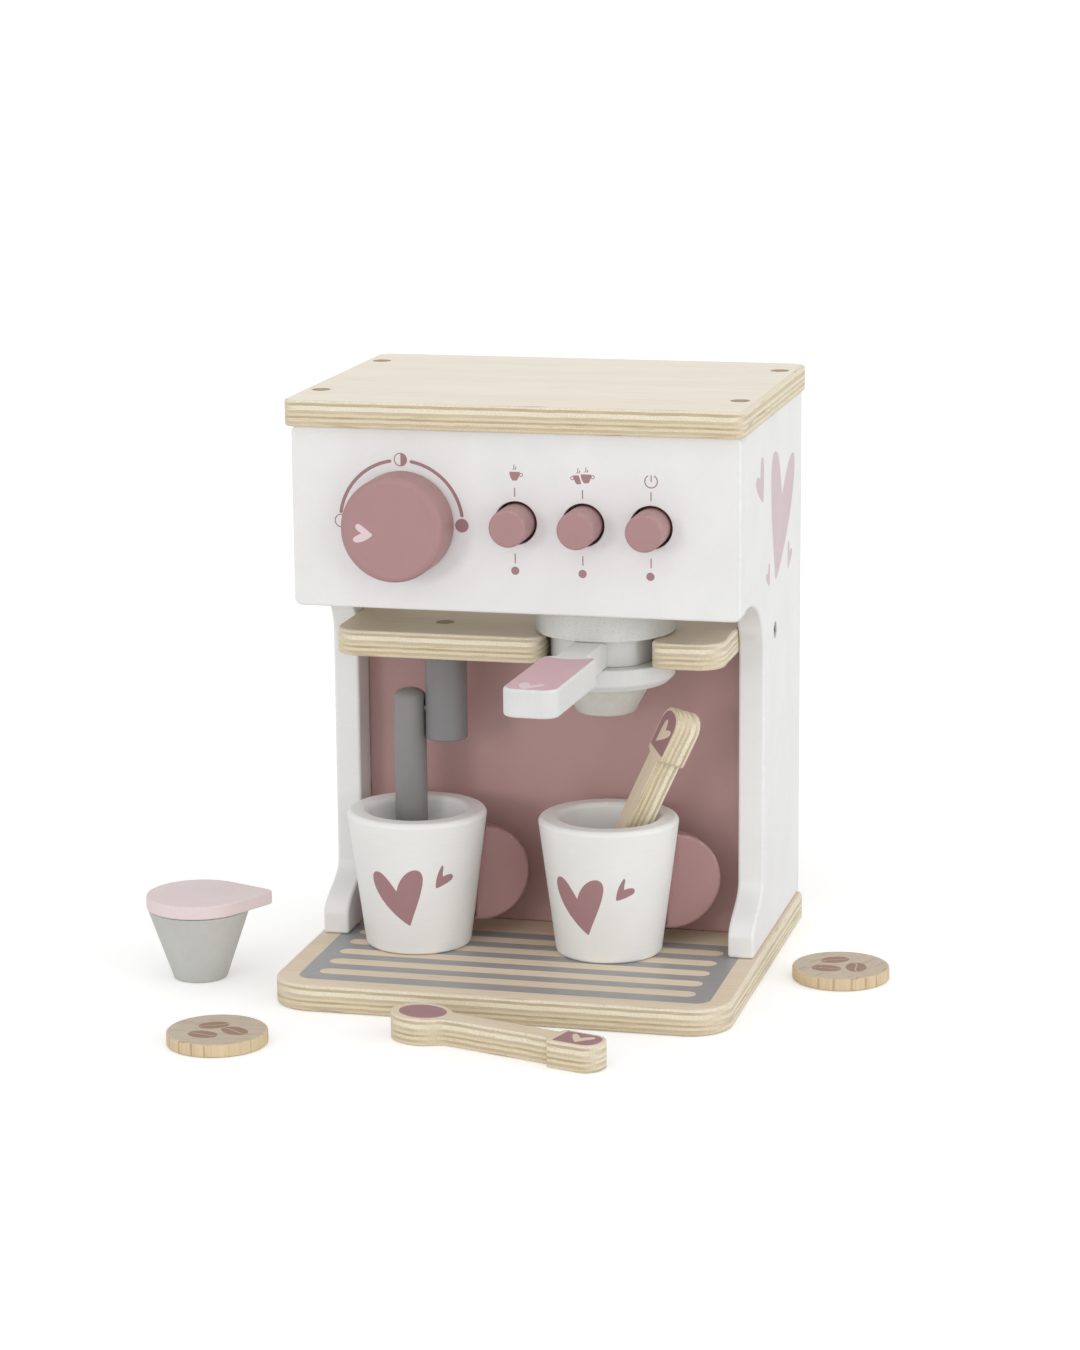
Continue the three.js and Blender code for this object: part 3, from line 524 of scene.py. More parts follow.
def plywoodEdge():
    # a wavy stack of layers, streaked along the board and porous
    material, tree, shader = newMaterial("plywood edge", 0.65, 0.3)
    coordinates = addNode(tree, "TexCoord")
    height = addNode(tree, "SeparateXYZ", {0: coordinates.outputs["Object"]}).outputs[2]
    wobble = ranged(tree, noise(tree, (1, 1, 0.3), 90), 0, 1, -0.35 * mm, 0.35 * mm)
    height = addNode(tree, "Math", {0: height, 1: wobble}, operation="ADD").outputs[0]
    share = ranged(tree, height, 0, plyStack * mm)
    facing = addNode(tree, "SeparateXYZ", {0: coordinates.outputs["Normal"]}).outputs[0]
    base = mixed(tree, multiplied(tree, facing, facing), plyRamp(tree, share, 1), plyRamp(tree, share, 2))
    streaks = noise(tree, (0.14, 0.14, 1.6), 420, 4, 0.6)
    pores = noise(tree, (1, 1, 0.7), 1700, 3, 0.65)
    dashes = noise(tree, (0.06, 0.06, 1.2), 600, 2, 0.5)
    base = tinted(tree, base, streaks, 0.38, 0.66, 0.5, linear((226, 213, 186)))
    base = tinted(tree, base, pores, 0.42, 0.75, 0.5, linear((184, 166, 136)))
    base = tinted(tree, base, dashes, 0.6, 0.74, 0.5, linear((150, 128, 98)))
    tree.links.new(base, shader.inputs["Base Color"])
    bump(tree, shader, mixed(tree, 0.5, pores, streaks), 0.35, 0.08)
    return material


def endGrain(name, color):
    # the sawn end of a dowel: rings round its own axis and fine pores
    material, tree, shader = newMaterial(name, 0.7, 0.25)
    rings = ranged(tree, noise(tree, (1, 1, 0.1), 380, 3, 0.6), 0.3, 0.7)
    pores = noise(tree, (1, 1, 0.1), 2600, 2)
    base = mixed(tree, rings, linear(color), shaded(color, 0.78))
    base = tinted(tree, base, pores, 0.5, 0.75, 0.5, shaded(color, 0.6))
    tree.links.new(base, shader.inputs["Base Color"])
    bump(tree, shader, pores, 0.3, 0.05)
    return material


def padWood(name, color, line, stretch, scale):
    # a slice of a dowel: short dark pores, as lines on its side and specks on its top
    material, tree, shader = newMaterial(name, 0.62, 0.3)
    bands = ranged(tree, noise(tree, stretch, scale * 0.2, 4, 0.6), 0.32, 0.7)
    fine = noise(tree, stretch, scale, 3, 0.6)
    cracks = noise(tree, stretch, scale * 0.55, 2, 0.4)
    base = mixed(tree, bands, linear(color), shaded(color, 0.94))
    base = tinted(tree, base, fine, 0.5, 0.75, 0.45, shaded(color, 0.8))
    base = tinted(tree, base, cracks, 0.6, 0.7, 0.6, linear(line))
    tree.links.new(sheenAndWearOnEdges(tree, base, 0.3, shaded(color, 0.86)), shader.inputs["Base Color"])
    bump(tree, shader, fine, 0.35, 0.07)
    return material


def metal(name, color, roughness, brushing):
    material, tree, shader = newMaterial(name, roughness, 0.5)
    shader.inputs["Metallic"].default_value = 1
    lines = noise(tree, brushing, 1800, 2)
    base = mixed(tree, ranged(tree, lines, 0.3, 0.7), linear(color), shaded(color, 0.8))
    # the lighter rounded edges are a painted highlight along the rounds, mixed with rubbed wear
    tree.links.new(sheenAndWearOnEdges(tree, base, 0.5, shaded(color, 1.2)), shader.inputs["Base Color"])
    setGloss(tree, shader, roughness, 600, 0.06, 0.1)
    bump(tree, shader, lines, 0.2, 0.02)
    return material


def speckled(name, color, speck, strength):
    # paint with fine grey specks, as on a stone glaze
    material, tree, shader = newMaterial(name, 0.55, 0.35)
    clouds = ranged(tree, noise(tree, even, 60, 4), 0.3, 0.7)
    dots = noise(tree, even, 1300, 2, 0.7)
    base = mixed(tree, clouds, linear(color), shaded(color, 0.965))
    base = tinted(tree, base, dots, 0.5, 0.68, strength, linear(speck))
    # the lighter rounded edges are a painted highlight along the rounds, mixed with rubbed wear
    tree.links.new(sheenAndWearOnEdges(tree, base, 0.5, shaded(color, 1.1)), shader.inputs["Base Color"])
    bump(tree, shader, dots, 0.3, 0.05)
    return material


looks = {
    "plyFace": plywoodFace("pale plywood face", (244, 237, 223), (238, 230, 213), (222, 209, 184)),
    # darker and warmer than the pale face: the base's and spoons' own tan, and on the shelf also painted shade
    "plyWarm": plywoodFace("warm plywood face", (231, 216, 193), (223, 206, 181), (202, 182, 152)),
    "plyEdge": plywoodEdge(),
    "dowel": endGrain("dowel wood", (188, 165, 134)),
    "white": paint("white paint", (233, 233, 232), 0.42, (246, 246, 245), 0.5, 0.03),
    "cupWhite": paint("cup paint", (236, 236, 234), 0.38, (246, 246, 245), 0.5, 0.03, 0.4, (0.12, 0.12, 1)),
    "pink": paint("dusty pink paint", (171, 133, 133), 0.46, (199, 165, 163), 0.6, 0.05),
    "handlePink": paint("cup handle paint", (166, 128, 127), 0.5, (196, 162, 160), 0.7, 0.05),
    # lighter than the dial's pink: painted light for the back panel in the shaded bay
    "backPinkPaintedLight": paint("back panel paint", (188, 151, 149), 0.36, (196, 160, 158), 0.5, 0.04),
    "palePink": paint("pale pink paint", (229, 213, 213), 0.5, (232, 218, 217), 0.6, 0.04),
    "postGrey": paint(
        "glossy grey paint", (127, 125, 126), 0.37, (160, 159, 158), 0.2, 0.01, 0.4, (1, 1, 0.02)
    ),
    "armGrey": paint("matt grey paint", (139, 137, 137), 0.55, (160, 158, 157), 0.4, 0.05),
    "lightGrey": paint("light grey paint", (219, 219, 217), 0.45, (236, 236, 234), 0.6, 0.05),
    "speckled": speckled("speckled paint", (216, 215, 210), (184, 182, 176), 0.5),
    "coneGrey": speckled("cone paint", (204, 202, 195), (186, 183, 176), 0.3),
    "creamerGrey": speckled("creamer stain", (198, 198, 193), (182, 180, 172), 0.35),
    "padTop": padWood("pad top", (205, 190, 171), (166, 144, 118), (0.12, 1, 1), 900),
    "padSide": padWood("pad side", (222, 200, 164), (150, 122, 88), (1, 1, 0.04), 700),
    "printPink": printInk("pink print", (165, 126, 130)),
    # the side hearts are the pink ink drawn paler: a painted sheen of the side panel at its grazing view
    "printPinkSheen": printInk("pale print", (210, 190, 194)),
    "printLight": printInk("light pink print", (222, 200, 203)),
    "printGrip": printInk("grip print", (204, 167, 174), 0.45),
    "printGrey": printInk("grey print", (157, 157, 158), 0.4),
    "printBrown": printInk("brown print", (158, 128, 107), 0.6, 0.04),
    "zinc": metal("zinc", (190, 191, 193), 0.34, (1, 1, 0.1)),
    # darker than the zinc: painted shade, so the pin shows dark in the gap between arm and post
    "shadedPinSteel": metal("steel pin", (120, 120, 121), 0.5, (1, 1, 0.1)),
    "wire": metal("spring wire", (186, 187, 190), 0.25, (0.2, 0.2, 1)),
}
paleWood = [looks["plyFace"], looks["plyEdge"]]
warmWood = [looks["plyWarm"], looks["plyEdge"]]
print("materials made")


def same(look):
    return [looks[look], looks[look]]


def rectangle(left, right, front, back, frontCorner, backCorner):
    return rounded([
        (left, front, frontCorner), (right, front, frontCorner),
        (right, back, backCorner), (left, back, backCorner),
    ])


def boardOutline(width, depth, corner, backCorner=None):
    # a rectangle centred on x, from y = 0 to its depth
    return rectangle(-width / 2, width / 2, 0, depth, corner, backCorner or corner)


def makeBoard(node, outline, thickness, edge, place, materials, holes=(), steps=5):
    shape = newShape()
    addPlate(shape, outline, thickness, edge, holes, steps)
    dress(makeObject(node + "_look", shape, place, materials), node)


def makeTurned(node, corners, place, look, segments=96):
    shape = newShape()
    addTurned(shape, rounded(corners, False), segments)
    dress(makeObject(node + "_look", shape, place, [looks[look]]), node)


def makeScrew(node, length, place, segments=32):
    s = screw
    quarter = [Vector((s["crossReach"], -s["crossHalf"])), Vector((s["crossReach"], s["crossHalf"]))]
    quarter.append(Vector((s["crossHalf"], s["crossHalf"])))
    cross = [Matrix.Rotation(math.pi / 2 * i, 2) @ point for i in range(4) for point in quarter]
    shape = newShape()
    addCap(shape, [circle(0, 0, s["head"], segments), cross], 0, False)
    starts = [addPoints(shape, [(p.x, p.y, level) for p in cross[::-1]]) for level in (0, s["crossDepth"])]
    joinRings(shape, *starts, len(cross))
    addCap(shape, [cross], s["crossDepth"], False)
    addTurned(shape, [
        (s["head"], 0), (s["shank"], s["headDepth"]), (s["shank"], length - s["point"]), (s["tip"], length),
    ], segments)
    addCap(shape, [circle(0, 0, s["tip"], segments)], length, True)
    dress(makeObject(node + "_look", shape, place, [looks["zinc"]]), node)


# Hearts of the prints: joined curves in millimetres, each from its tip, a spoon's from its head's centre
hearts = {
    "dial": [
        (-0.2, 0.6), (-1.8, 1.9), (-3.6, 3.5), (-5.4, 4.6), (-6.7, 5.3), (-7.8, 4.2), (-7.4, 3.0),
        (-7.0, 2.0), (-5.6, 1.2), (-4.7, 0.6), (-6.4, 0.0), (-7.9, -0.9), (-8.5, -1.6),
        (-9.0, -2.7), (-8.2, -3.5), (-6.9, -3.5), (-4.7, -3.5), (-2.0, -2.0), (-0.3, -0.6),
        (0.3, -0.2), (0.2, 0.3), (-0.2, 0.6),
    ],
    "tall": [
        (-1, 1.6), (-4, 12), (-12, 30), (-11.8, 47), (-11.7, 55), (-8.5, 59.4), (-2.5, 59.4),
        (7, 59.4), (12.5, 48), (15.3, 36.2), (21, 41), (33, 51.8), (42, 51.8),
        (46.5, 51.8), (48.8, 49.2), (48, 44.5), (46, 29), (23, 10), (4.5, 0.9),
        (2, -0.5), (0, -0.5), (-1, 1.6),
    ],
    "small": [
        (-1.5, 0.4), (-6, 2.6), (-12.5, 5.6), (-15.6, 9.0), (-17.3, 11.4), (-15, 13.2), (-12.5, 13.0),
        (-9.5, 12.8), (-7.5, 12.0), (-5.6, 11.0), (-5.6, 14.8), (-5.0, 20.5), (-1.9, 20.6),
        (1.5, 20.6), (2.4, 17.3), (2.5, 13.8), (2.6, 8.8), (2.3, 3.8), (1.4, 0.2),
        (0.6, -0.3), (-0.5, -0.3), (-1.5, 0.4),
    ],
    "cup": [
        (0, 0), (-7, 4.2), (-17.4, 13.5), (-17.5, 20.8), (-17.6, 23.6), (-16.4, 25.0), (-14.3, 25.0),
        (-11.2, 25.0), (-8.3, 20.2), (-5.4, 16.3), (-4.2, 22.0), (-0.2, 27.0), (3.5, 27.0),
        (6.0, 27.0), (7.1, 24.6), (6.9, 21.6), (6.4, 14.5), (2.6, 6.0), (0.9, 0.6),
        (0.6, -0.1), (0.3, -0.2), (0, 0),
    ],
    "cupSmall": [
        (0, 0), (-0.4, 2.4), (0.2, 6.5), (2.5, 10.5), (3.2, 10.5), (3.4, 9.6), (3.2, 8.2),
        (3.0, 7.0), (3.1, 6.2), (3.2, 5.0), (4.6, 5.8), (7.2, 6.4), (8.0, 5.3),
        (8.8, 4.2), (8.0, 3.0), (6.8, 2.5), (4.5, 1.2), (2.0, 0.2), (0.8, -0.1),
        (0.5, -0.2), (0.2, -0.2), (0, 0),
    ],
    "flatSpoon": [
        (79.5, -4.4), (77.5, -2.5), (74.8, 1.5), (74.0, 3.8), (73.6, 5.2), (75.2, 5.6), (76.2, 4.6),
        (77.4, 3.6), (78.7, 2.2), (79.4, 1.0), (80.6, 3.2), (82.6, 5.0), (84.0, 4.8),
        (85.6, 4.4), (85.4, 2.4), (84.2, 1.2), (82.8, -0.6), (81.2, -2.8), (80.2, -4.2),
        (80.0, -4.7), (79.7, -4.7), (79.5, -4.4),
    ],
    "leaningSpoon": [
        (73.0, -3.6), (74.5, -1.0), (77.0, 3.0), (79.5, 5.2), (81.0, 6.4), (82.2, 5.6), (81.9, 4.2),
        (81.7, 2.8), (80.8, 1.4), (80.2, 0.4), (81.5, 0.0), (83.0, -0.2), (84.0, -0.9),
        (85.0, -1.8), (84.6, -3.3), (83.2, -3.6), (80.0, -4.2), (76.0, -4.2), (73.6, -4.2),
        (73.0, -4.2), (72.8, -3.9), (73.0, -3.6),
    ],
}


# Base plate and its screws
basePlate = {"width": 208, "depth": 200, "frontCorner": 19, "backCorner": 6, "edge": 1.2}
baseScrews = {
    "x": 95.6, "front": 16, "back": 77, "recess": 0.8, "length": 34, "firstTurn": 20, "nextTurn": 50,
}


def makeBase():
    b, s = basePlate, baseScrews
    outline = boardOutline(b["width"], b["depth"], b["frontCorner"], b["backCorner"])
    spots = [(x, y) for x in (-s["x"], s["x"]) for y in (s["front"], s["back"])]
    holes = [sunkHole(x, y + b["depth"] / 2, levels["board"], s["recess"]) for x, y in spots]
    place = placed(0, -b["depth"] / 2, 0)
    makeBoard("base_plate", outline, levels["board"], b["edge"], place, warmWood, holes)
    for i, (x, y) in enumerate(spots):
        turn = s["firstTurn"] + s["nextTurn"] * i
        makeScrew(f"base_screw_{i + 1}", s["length"], placed(x, y, s["recess"], upright, turn))


# Drip grid printed on the base: its field and the bare slots in it
dripGrid = {
    "left": -93.5, "right": 94.5, "front": -89.5, "back": -0.5, "corner": 7, "backCorner": 1,
    "slotLeft": -86, "slotRight": 86.5, "slotWidth": 8.3, "slots": (-76.5, -60.8, -45, -29.2, -13.2),
}


def makeDripGrid():
    g = dripGrid
    loops = [rectangle(g["left"], g["right"], g["front"], g["back"], g["corner"], g["backCorner"])]
    half = g["slotWidth"] / 2
    for y in g["slots"]:
        ends = [Vector((g["slotLeft"] + half, y)), Vector((g["slotRight"] - half, y))]
        loops.append(stroke(ends, g["slotWidth"]))
    wrap = lambda x, y, level: (x, y, levels["baseTop"] + level)
    makePrint("drip_grid", "base_plate", [loops], wrap, "printGrey")


# Top plate and its dowels
topPlate = {"width": 207.4, "front": -59.5, "back": 99.5, "corner": 6, "edge": 1.2}
topDowels = {"x": 95.6, "front": -25.1, "back": 73, "radius": 4.2, "length": 36, "nextTurn": 70}


def dowelHole(x, y, radius):
    return roundHole(x, y, radius + levels["play"], levels["board"], levels["holeEdge"])


def makeDowel(node, radius, length, place, edge=0.3):
    corners = [(0, 0), (radius, 0, edge), (radius, length, edge), (0, length)]
    makeTurned(node, corners, place, "dowel", 48)


def makeTop():
    t, d = topPlate, topDowels
    outline = boardOutline(t["width"], t["back"] - t["front"], t["corner"])
    spots = [(x, y) for x in (-d["x"], d["x"]) for y in (d["front"], d["back"])]
    holes = [dowelHole(x, y - t["front"], d["radius"]) for x, y in spots]
    place = placed(0, t["front"], levels["topUnderside"])
    makeBoard("top_plate", outline, levels["board"], t["edge"], place, paleWood, holes)
    for i, (x, y) in enumerate(spots):
        spot = placed(x, y, levels["machineTop"] - d["length"], upright, d["nextTurn"] * i)
        makeDowel(f"top_dowel_{i + 1}", d["radius"], d["length"], spot)


# Side panels, drawn in their own plane: x to the back from the wall's front, y up from the base
sidePanel = {
    "back": 140, "height": 243.8, "edge": 1.4, "edgeSteps": 7, "waist": 46,
    "foot": 21.7, "footRound": 1.5, "footTop": 9, "footPull": 19, "sweepTop": 30, "sweepPull": 20,
    "archTop": 164.8, "archReach": 38.8, "archRise": 27, "lip": 3, "lipPull": 1,
}
sideScrew = {"y": 31.25, "z": 154.5, "length": 38, "recess": 0.3, "turn": 33}


def sideOutline():
    s = sidePanel
    path = arc(s["foot"] + s["footRound"], s["footRound"], s["footRound"], 180, 270, 5)
    path += [Vector((s["back"], 0)), Vector((s["back"], s["height"])), Vector((0, s["height"]))]
    lip, pull, top = s["lip"], s["lipPull"], s["archTop"]
    path += bezier([(0, top + lip), (0, top + pull), (pull, top), (lip, top)], 5)
    centre = Vector((s["waist"] - s["archReach"], top - s["archRise"]))
    path += [centre + Vector((s["archReach"] * p.x, s["archRise"] * p.y)) for p in arc(0, 0, 1, 90, 0, 32)]
    path += bezier([
        (s["waist"], s["sweepTop"]), (s["waist"], s["sweepPull"]),
        (s["foot"], s["footPull"]), (s["foot"], s["footTop"]),
    ], 28)
    return path


def makeSides():
    w, s = levels, sideScrew
    walls = (
        ("left", -1, -w["wallOutside"], facingRight),
        ("right", 1, w["wallInside"], facingLeft),
    )
    for side, direction, x, inwards in walls:
        hole = sunkHole(s["y"] - w["wallFront"], s["z"] - wallBottom, w["board"], s["recess"], direction < 0)
        place = placed(x, w["wallFront"], wallBottom, facingRight)
        node = f"{side}_side_panel"
        edge, steps = sidePanel["edge"], sidePanel["edgeSteps"]
        makeBoard(node, sideOutline(), w["board"], edge, place, same("white"), [hole], steps)
        spot = placed(direction * (w["wallOutside"] - s["recess"]), s["y"], s["z"], inwards, s["turn"])
        makeScrew(f"{side}_side_screw", s["length"], spot)


# Hearts on the right side panel: tip, size and mirroring of each
sideHearts = [
    ("tall", 31, 178, 1, 1),
    ("small", -2, 219.2, 1, 1),
    ("small", 15.5, 177.8, 0.52, 1),
    ("small", 64, 177, 0.62, -1),
]


def makeSideHearts():
    drawings = [[drawn(hearts[name], size, y, z, 0, mirror)] for name, y, z, size, mirror in sideHearts]
    wrap = lambda y, z, level: (levels["wallOutside"] + level, y, z)
    makePrint("side_hearts", "right_side_panel", drawings, wrap, "printPinkSheen")


# Shelf with its keyhole notch, and the dowel of the steam wand's post
shelfBoard = {"halfWidth": 89.5, "frontCorner": 12, "backCorner": 2, "edge": 1.2, "mouth": 6}
notch = {"x": 32, "reach": 24.5, "radius": 25.4}
wandDowel = {"x": -43.5, "y": -10, "radius": 4.2, "length": 30}


def shelfOutline():
    s, n = shelfBoard, notch
    front, back, mouth = s["frontCorner"], s["backCorner"], s["mouth"]
    half, depth = s["halfWidth"], levels["wallBack"] - levels["shelfFront"]
    left, right = n["x"] - n["radius"], n["x"] + n["radius"]
    path = arc(front - half, front, front, 180, 270, 14)
    path += arc(left - mouth, mouth, mouth, 270, 360, 10)
    path += arc(n["x"], n["reach"], n["radius"], 180, 0, 64)
    path += arc(right + mouth, mouth, mouth, 180, 270, 10)
    path += arc(half - front, front, front, 270, 360, 14)
    path += arc(half - back, depth - back, back, 0, 90, 5)
    path += arc(back - half, depth - back, back, 90, 180, 5)
    return path


def makeShelf():
    w = wandDowel
    hole = dowelHole(w["x"], w["y"] - levels["shelfFront"], w["radius"])
    place = placed(0, levels["shelfFront"], levels["shelfUnderside"])
    # the shelf's darker warm face is partly painted shade for its top under the front panel
    makeBoard("shelf", shelfOutline(), levels["board"], shelfBoard["edge"], place, warmWood, [hole])
    spot = placed(w["x"], w["y"], levels["shelfTop"] - w["length"])
    makeDowel("wand_dowel", w["radius"], w["length"], spot)


# Back panel of the bay
backPanel = {"width": 179, "height": 136.3, "thickness": 9, "edge": 0.8, "corner": 1.5, "back": 30}


def makeBackPanel():
    b = backPanel
    outline = boardOutline(b["width"], b["height"], b["corner"])
    place = placed(0, b["back"], wallBottom, facingFront)
    makeBoard("back_panel", outline, b["thickness"], b["edge"], place, same("backPinkPaintedLight"))


# Front panel, with its bores
frontPanel = {"width": 203.2, "height": 81.4, "edge": 1.3, "edgeSteps": 7, "corner": 3.5, "boreEdge": 0.4}
dial = {"x": -50.5, "z": 213.5, "radius": 23.5, "depth": 19.5, "round": 3, "back": 0.8, "bore": 5.3}
buttons = {"x": 0.8, "pitch": 30.4, "z": 215.3, "radius": 8.4, "reach": 15.5, "edge": 1.2, "bore": 9.6}
buttonSpots = [buttons["x"] + buttons["pitch"] * i for i in range(3)]


def makeFrontPanel():
    f, board = frontPanel, levels["board"]
    outline = boardOutline(f["width"], f["height"], f["corner"])
    base = levels["panelBottom"]
    spots = [(x, buttons["z"] - base, buttons["bore"]) for x in buttonSpots]
    spots.append((dial["x"], dial["z"] - base, dial["bore"]))
    holes = [roundHole(*spot, board, f["boreEdge"], 64) for spot in spots]
    place = placed(0, levels["panelBack"], base, facingFront)
    makeBoard("front_panel", outline, board, f["edge"], place, same("white"), holes, f["edgeSteps"])


# Marks printed on the front panel, at x and z in millimetres
frontMarks = {
    "scale": {"x": -51.2, "z": 213.4, "radius": 28.1, "width": 1.5, "arcs": ((9, 80), (100, 171))},
    "rings": {
        "radius": 3.05, "line": 0.45, "half": (-51.2, 241.9), "full": (-23.5, 213.3), "open": (-78.9, 213.7),
    },
    "lines": {"x": (0.6, 31.15, 61.7), "spans": ((227.2, 230.8), (197.6, 201.5)), "width": 0.5},
    "dots": {"radius": 1.85, "places": ((0.55, 194.0), (31.0, 193.7), (61.4, 193.6))},
    "power": {"x": 61.75, "z": 235.7, "radius": 2.8, "gap": 32, "bar": (235.8, 238.2), "width": 0.5},
    "cups": (
        ("body", (0.6, 234.2), (3.55, 236.8), (0.6, 239.15)),
        ("body", (32.75, 234), (35.75, 236.8), (32.9, 238.9)),
        ("frontBody", (29.5, 233.5), (26.6, 236.1), (29.3, 238.4)),
    ),
}

# Cup signs: bodies from the middle of the foot, the steam from its own foot
cupSign = {
    "body": [
        (-2.35, 3.85), (-2.3, 2.5), (-1.8, 1.1), (-1.1, 0.15), (-1.0, 0.0), (-0.9, 0.0), (-0.7, 0.0),
        (-0.2, 0.0), (0.2, 0.0), (0.7, 0.0), (0.9, 0.0), (1.0, 0.0), (1.1, 0.15),
        (1.8, 1.1), (2.3, 2.5), (2.35, 3.85), (0.8, 3.9), (-0.8, 3.9), (-2.35, 3.85),
    ],
    "frontBody": [
        (-2.4, 3.85), (-2.3, 2.5), (-1.8, 1.1), (-1.2, 0.15), (-1.1, 0.0), (-1.0, 0.0), (-0.8, 0.0),
        (-0.2, 0.0), (0.4, 0.0), (1.1, 0.0), (0.9, 1.3), (0.4, 2.6), (0.0, 3.85),
        (-0.8, 3.9), (-1.6, 3.9), (-2.4, 3.85),
    ],
    "steam": (
        [(-0.7, 0), (0.5, 0.6), (-0.8, 1.2), (0.0, 2.0)],
        [(0.25, 0), (0.9, 0.3), (0.2, 0.6), (0.75, 0.95)],
    ),
    "handle": 0.9,
    "line": 0.36,
}


def ringSign(x, z, radius, line, steps=40):
    return [circle(x, z, radius, steps), circle(x, z, radius - line, steps)[::-1]]


def cupSigns(body, foot, handle, steam):
    c = cupSign
    signs = [[drawn(c[body], 1, *foot)], ringSign(*handle, c["handle"], c["line"], 24)]
    for curl in c["steam"]:
        signs.append([stroke([p + Vector(steam) for p in bezier(curl)], c["line"])])
    return signs


def makeFrontMarks():
    m = frontMarks
    s, r, n, d, power = (m[part] for part in ("scale", "rings", "lines", "dots", "power"))
    drawings = [[stroke(arc(s["x"], s["z"], s["radius"], *span, 40), s["width"])] for span in s["arcs"]]
    drawings += [[circle(*r["full"], r["radius"], 40)], ringSign(*r["open"], r["radius"], r["line"])]
    x, z = r["half"]
    inside = arc(x, z, r["radius"] - r["line"], 270, 90, 20)
    drawings += [[arc(x, z, r["radius"], -90, 90, 20)], [arc(x, z, r["radius"], 90, 270, 20) + inside]]
    for x in n["x"]:
        drawings += [[stroke([Vector((x, a)), Vector((x, b))], n["width"])] for a, b in n["spans"]]
    drawings += [[circle(x, z, d["radius"], 32)] for x, z in d["places"]]
    ring = arc(power["x"], power["z"], power["radius"], 90 + power["gap"], 450 - power["gap"], 40)
    bar = [Vector((power["x"], z)) for z in power["bar"]]
    drawings += [[stroke(path, power["width"])] for path in (ring, bar)]
    for cupMark in m["cups"]:
        drawings += cupSigns(*cupMark)
    wrap = lambda x, z, level: (x, levels["panelFace"] - level, z)
    makePrint("front_marks", "front_panel", drawings, wrap, "printPink")


# Dial, with its axle, retainer and screw behind the panel, in levels from the panel's face
dialAxle = {"radius": 5, "length": 22.5, "back": -12.2, "pilot": 2.05, "pilotDepth": 14, "edge": 0.4}
dialRetainer = {"radius": 11, "thickness": 5, "back": -17.3, "edge": 0.8, "screw": 14}
dialHeart = {"x": -59.1, "z": 211.3}


def makeDial():
    d, a, r = dial, dialAxle, dialRetainer
    level = lambda height: placed(d["x"], levels["panelFace"] - height, d["z"], facingFront)
    gap, play = levels["gap"], levels["play"]
    socket, depth = a["radius"] + play, a["back"] + a["length"] - gap + play
    makeTurned("dial_knob", [
        (0, depth), (socket, depth), (socket, 0), (d["radius"], 0, d["back"]),
        (d["radius"], d["depth"], d["round"]), (0, d["depth"]),
    ], level(gap), "pink", 128)
    makeTurned("dial_axle", [
        (0, a["pilotDepth"]), (a["pilot"], a["pilotDepth"]), (a["pilot"], 0),
        (a["radius"], 0, a["edge"]), (a["radius"], a["length"], a["edge"]), (0, a["length"]),
    ], level(a["back"]), "dowel", 48)
    back = level(r["back"])
    makeTurned("dial_retainer", [
        (a["pilot"], r["thickness"]), (a["pilot"], screw["headDepth"]), (screw["head"] + play, 0),
        (r["radius"], 0, r["edge"]), (r["radius"], r["thickness"], r["edge"]), (a["pilot"], r["thickness"]),
    ], back, "dowel", 64)
    makeScrew("dial_screw", r["screw"], back)
    front = levels["panelFace"] - gap - d["depth"]
    wrap = lambda x, z, level: (x, front - level, z)
    heart = drawn(hearts["dial"], 1, dialHeart["x"], dialHeart["z"])
    makePrint("dial_heart", "dial_knob", [[heart]], wrap, "printLight")


# Push buttons, the rail behind them and their springs, in levels from the panel's face
buttonParts = {
    "flange": 12, "flangeFront": -12.3, "flangeBack": -16.3, "flangeEdge": 0.4, "shoulder": 4.8,
    "stem": 3.2, "stemEdge": 0.3, "rail": -37, "travel": 5, "past": 6,
}
buttonRail = {
    "width": 179, "height": 38, "thickness": 10, "back": -6.1, "corner": 2, "edge": 1,
    "bore": 3.55, "boreEdge": 0.3,
}
springs = {"radius": 6.6, "wire": 0.6, "curls": 6, "seat": 0.2, "steps": 40, "sides": 12}
buttonNames = ["left_button", "middle_button", "right_button"]


def buttonCorners():
    b, p = buttons, buttonParts
    end, ledge = p["rail"] - p["past"], p["rail"] + p["travel"]
    return [
        (0, end), (p["stem"], end, p["stemEdge"]), (p["stem"], ledge), (p["shoulder"], ledge, p["stemEdge"]),
        (p["shoulder"], p["flangeBack"]), (p["flange"], p["flangeBack"], p["flangeEdge"]),
        (p["flange"], p["flangeFront"], p["flangeEdge"]), (b["radius"], p["flangeFront"]),
        (b["radius"], b["reach"], b["edge"]), (0, b["reach"]),
    ]


def makeSpring(name, place):
    # one unbroken wire, wound from the rail to the button's flange
    s = springs
    length = buttonParts["flangeBack"] - buttonParts["rail"] - 2 * s["seat"]
    rings = s["curls"] * s["steps"]
    shape = newShape()
    starts = []
    for i in range(rings + 1):
        turn = 2 * math.pi * i / s["steps"]
        height = s["wire"] + (length - 2 * s["wire"]) * i / rings
        section = circle(s["radius"], height, s["wire"], s["sides"])
        starts.append(addPoints(shape, [(p.x * math.cos(turn), p.x * math.sin(turn), p.y) for p in section]))
    for first, second in zip(starts, starts[1:]):
        joinRings(shape, second, first, s["sides"])
    addFaces(shape, [tuple(starts[0] + k for k in range(s["sides"]))])
    addFaces(shape, [tuple(starts[-1] + k for k in reversed(range(s["sides"])))])
    made = makeObject(name + "_spring_look", shape, place, [looks["wire"]], 60, False)
    dress(made, name + "_spring")
    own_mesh(made)


